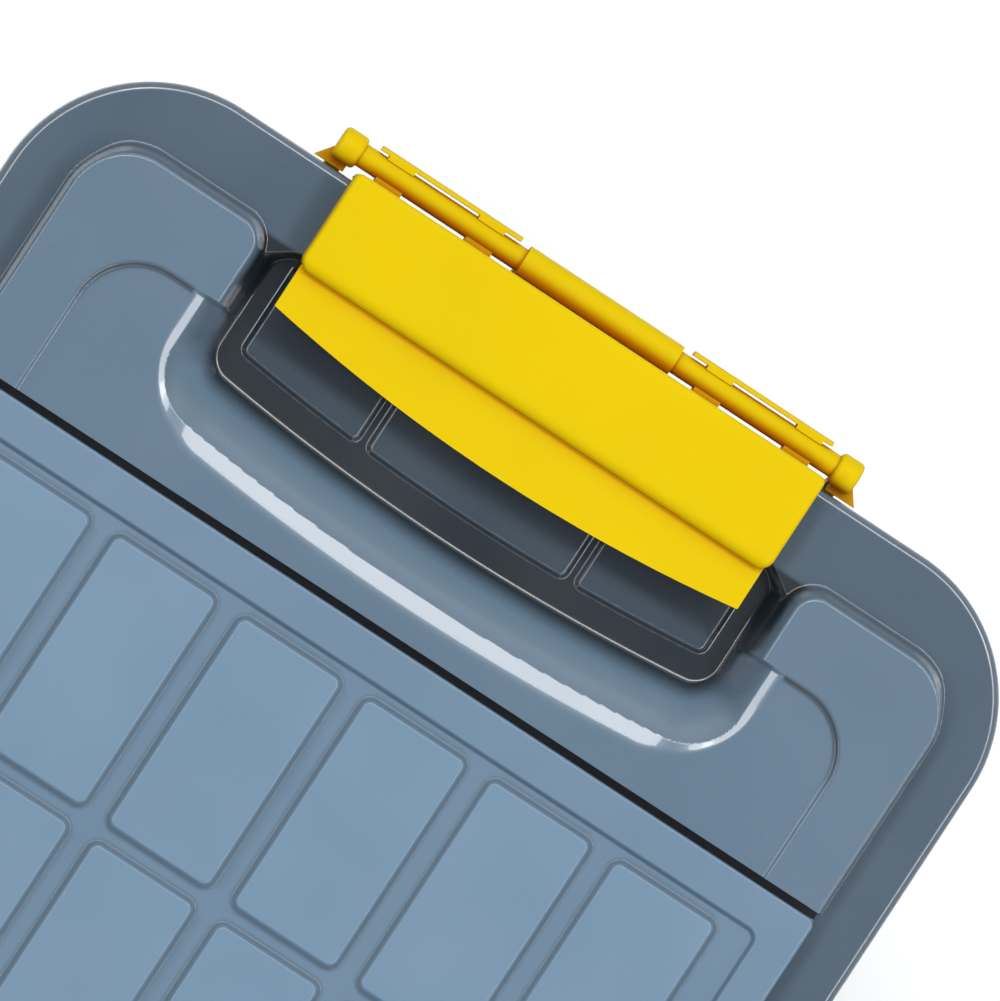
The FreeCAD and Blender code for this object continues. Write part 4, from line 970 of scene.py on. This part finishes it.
def under_box(shell):
    """The hatch's hollow underside, its tab and its hinge knuckles."""
    x_out, y_out = HATCH_END, HATCH_SIDE
    x_in, y_in = x_out - WALL, y_out - WALL
    low = PANEL_BASE
    high = TOP_OF_LID - FIELD_DEPTH - WALL
    # The hatch's underside is painted darker, as shade.
    for x0, x1, y0, y1 in (
        (-x_out, x_out, y_in, y_out),
        (-x_out, x_out, -y_out, -y_in),
        (x_in, x_out, -y_in, y_in),
        (-x_out, -x_in, -y_in, y_in),
    ):
        ring = [(x0, y0, low), (x0, y1, low), (x1, y1, low), (x1, y0, low)]
        shell.add(ring, [(0, 0, -1)] * 4, [(0, 1, 2, 3)], HATCH_UNDER_SHADE)
    corners = [(-x_in, -y_in), (x_in, -y_in), (x_in, y_in), (-x_in, y_in)]
    ceiling = [(x, y, high) for x, y in corners]
    shell.add(ceiling, [(0, 0, -1)] * 4, [(3, 2, 1, 0)], HATCH_UNDER_SHADE)
    for (xa, ya), (xb, yb) in zip(corners, corners[1:] + corners[:1]):
        normal = (-(yb - ya), xb - xa, 0.0)
        length = math.hypot(normal[0], normal[1])
        normal = (normal[0] / length, normal[1] / length, 0.0)
        ring = [(xa, ya, low), (xb, yb, low), (xb, yb, high), (xa, ya, high)]
        shell.add(ring, [normal] * 4, [(3, 2, 1, 0)], HATCH_UNDER_SHADE)
    tab_low = (-TAB_HALF, -y_out - TAB_REACH, HINGE_Z - TAB_THICK / 2)
    shell.rounded_box(tab_low, (TAB_HALF, -y_out + 1.0, HINGE_Z + TAB_THICK / 2), 1.2)
    for middle in (-HINGE_PLACE, HINGE_PLACE):
        start = middle - HATCH_KNUCKLE
        shell.bar((start, HINGE_Y, HINGE_Z), 2 * HATCH_KNUCKLE, HINGE_RADIUS, 0.6)
        near = (start + 0.05, y_out - 1.0, HINGE_Z - HINGE_RADIUS / 2)
        far = (start + 2 * HATCH_KNUCKLE - 0.05, HINGE_Y, HINGE_Z + HINGE_RADIUS)
        shell.rounded_box(near, far, 0.6)


make_lid()
make_hatch()


# ---------------------------------------------------------------- floor, light and camera


def area_light(name, place, target, width, length, power):
    """A softbox at a place, turned to a target."""
    light = bpy.data.lights.new(name, "AREA")
    light.shape = "RECTANGLE"
    light.size = width
    light.size_y = length
    light.energy = power
    thing = bpy.data.objects.new(name, light)
    thing.location = place
    back = (Vector(place) - Vector(target)).normalized()
    across = Vector((0.0, 1.0, 0.0)).cross(back).normalized()
    thing.rotation_euler = Matrix((across, back.cross(across), back)).transposed().to_euler()
    bpy.context.scene.collection.objects.link(thing)


def make_floor():
    """A plain pale floor."""
    material, tree, shader = new_material("studio_floor")
    coords = node(tree, "ShaderNodeTexCoord")
    clouds = noise(tree, coords, 3.0)
    tint = ramp(tree, clouds.outputs["Fac"], grey(0.93), grey(0.96))
    tree.links.new(tint.outputs["Color"], shader.inputs["Base Color"])
    shader.inputs["Roughness"].default_value = 0.9
    mesh = bpy.data.meshes.new("studio_floor")
    reach = 6.0
    corners = [(-reach, -reach, 0), (reach, -reach, 0), (reach, reach, 0), (-reach, reach, 0)]
    mesh.from_pydata(corners, [], [(0, 1, 2, 3)])
    mesh.materials.append(material)
    floor = bpy.data.objects.new("studio_floor", mesh)
    bpy.context.scene.collection.objects.link(floor)


def make_world():
    """An even studio: bright low down and darker overhead."""
    world = bpy.data.worlds.new("studio")
    bpy.context.scene.world = world
    world.use_nodes = True
    tree = world.node_tree
    background = tree.nodes["Background"]
    coords = node(tree, "ShaderNodeTexCoord")
    split = node(tree, "ShaderNodeSeparateXYZ")
    tree.links.new(coords.outputs["Generated"], split.inputs[0])
    low_down, overhead = (0.95, 0.97, 1.0, 1.0), (0.11, 0.12, 0.14, 1.0)
    shade = ramp(tree, split.outputs["Z"], low_down, overhead, 0.3, 0.97)
    tree.links.new(shade.outputs["Color"], background.inputs["Color"])
    background.inputs["Strength"].default_value = 0.9


def make_camera():
    """Looks down on one end of the lid, a little from the hatch's hinge side."""
    picture_turn = math.radians(33.35)
    distance = 3.2
    picture_width = 0.3236
    aim = Vector(((LID_END - 60.3) * MM, -5.6 * MM, TOP * MM))
    back = Vector((0.0, math.sin(CAMERA_LEAN), math.cos(CAMERA_LEAN)))
    up = Vector((math.cos(picture_turn), math.sin(picture_turn), 0.0))
    up = (up - back * up.dot(back)).normalized()
    right = up.cross(back)
    data = bpy.data.cameras.new("camera")
    camera = bpy.data.objects.new("camera", data)
    turn = Matrix((right, up, back)).transposed().to_4x4()
    camera.matrix_world = Matrix.Translation(aim + back * distance) @ turn
    data.sensor_width = 36.0
    data.lens = data.sensor_width * distance / picture_width
    data.clip_end = 50.0
    bpy.context.scene.collection.objects.link(camera)
    bpy.context.scene.camera = camera


def make_lights():
    """Four long softboxes in a square over the lid, a little to its front, facing its middle."""
    aim = Vector(((LID_END - 60.0) * MM, 0.0, TOP * MM))
    height = 1.5
    off = math.tan(math.radians(30.0)) * height
    forward = math.tan(CAMERA_LEAN) * height
    long_side, short_side = 1.9, 0.4
    for name, direction, radiance in (
        ("end", (1.0, 0.0), 8.0),
        ("middle", (-1.0, 0.0), 1.5),
        ("left", (0.0, 1.0), 6.5),
        ("right", (0.0, -1.0), 6.5),
    ):
        place = aim + Vector((direction[0] * off, direction[1] * off - forward, height))
        along_side = direction[1] == 0.0
        width, length = (short_side, long_side) if along_side else (long_side, short_side)
        area_light(name, place, aim, width, length, radiance * math.pi * long_side * short_side)


make_floor()
make_world()
make_camera()
make_lights()
bpy.context.scene.view_settings.view_transform = "Standard"
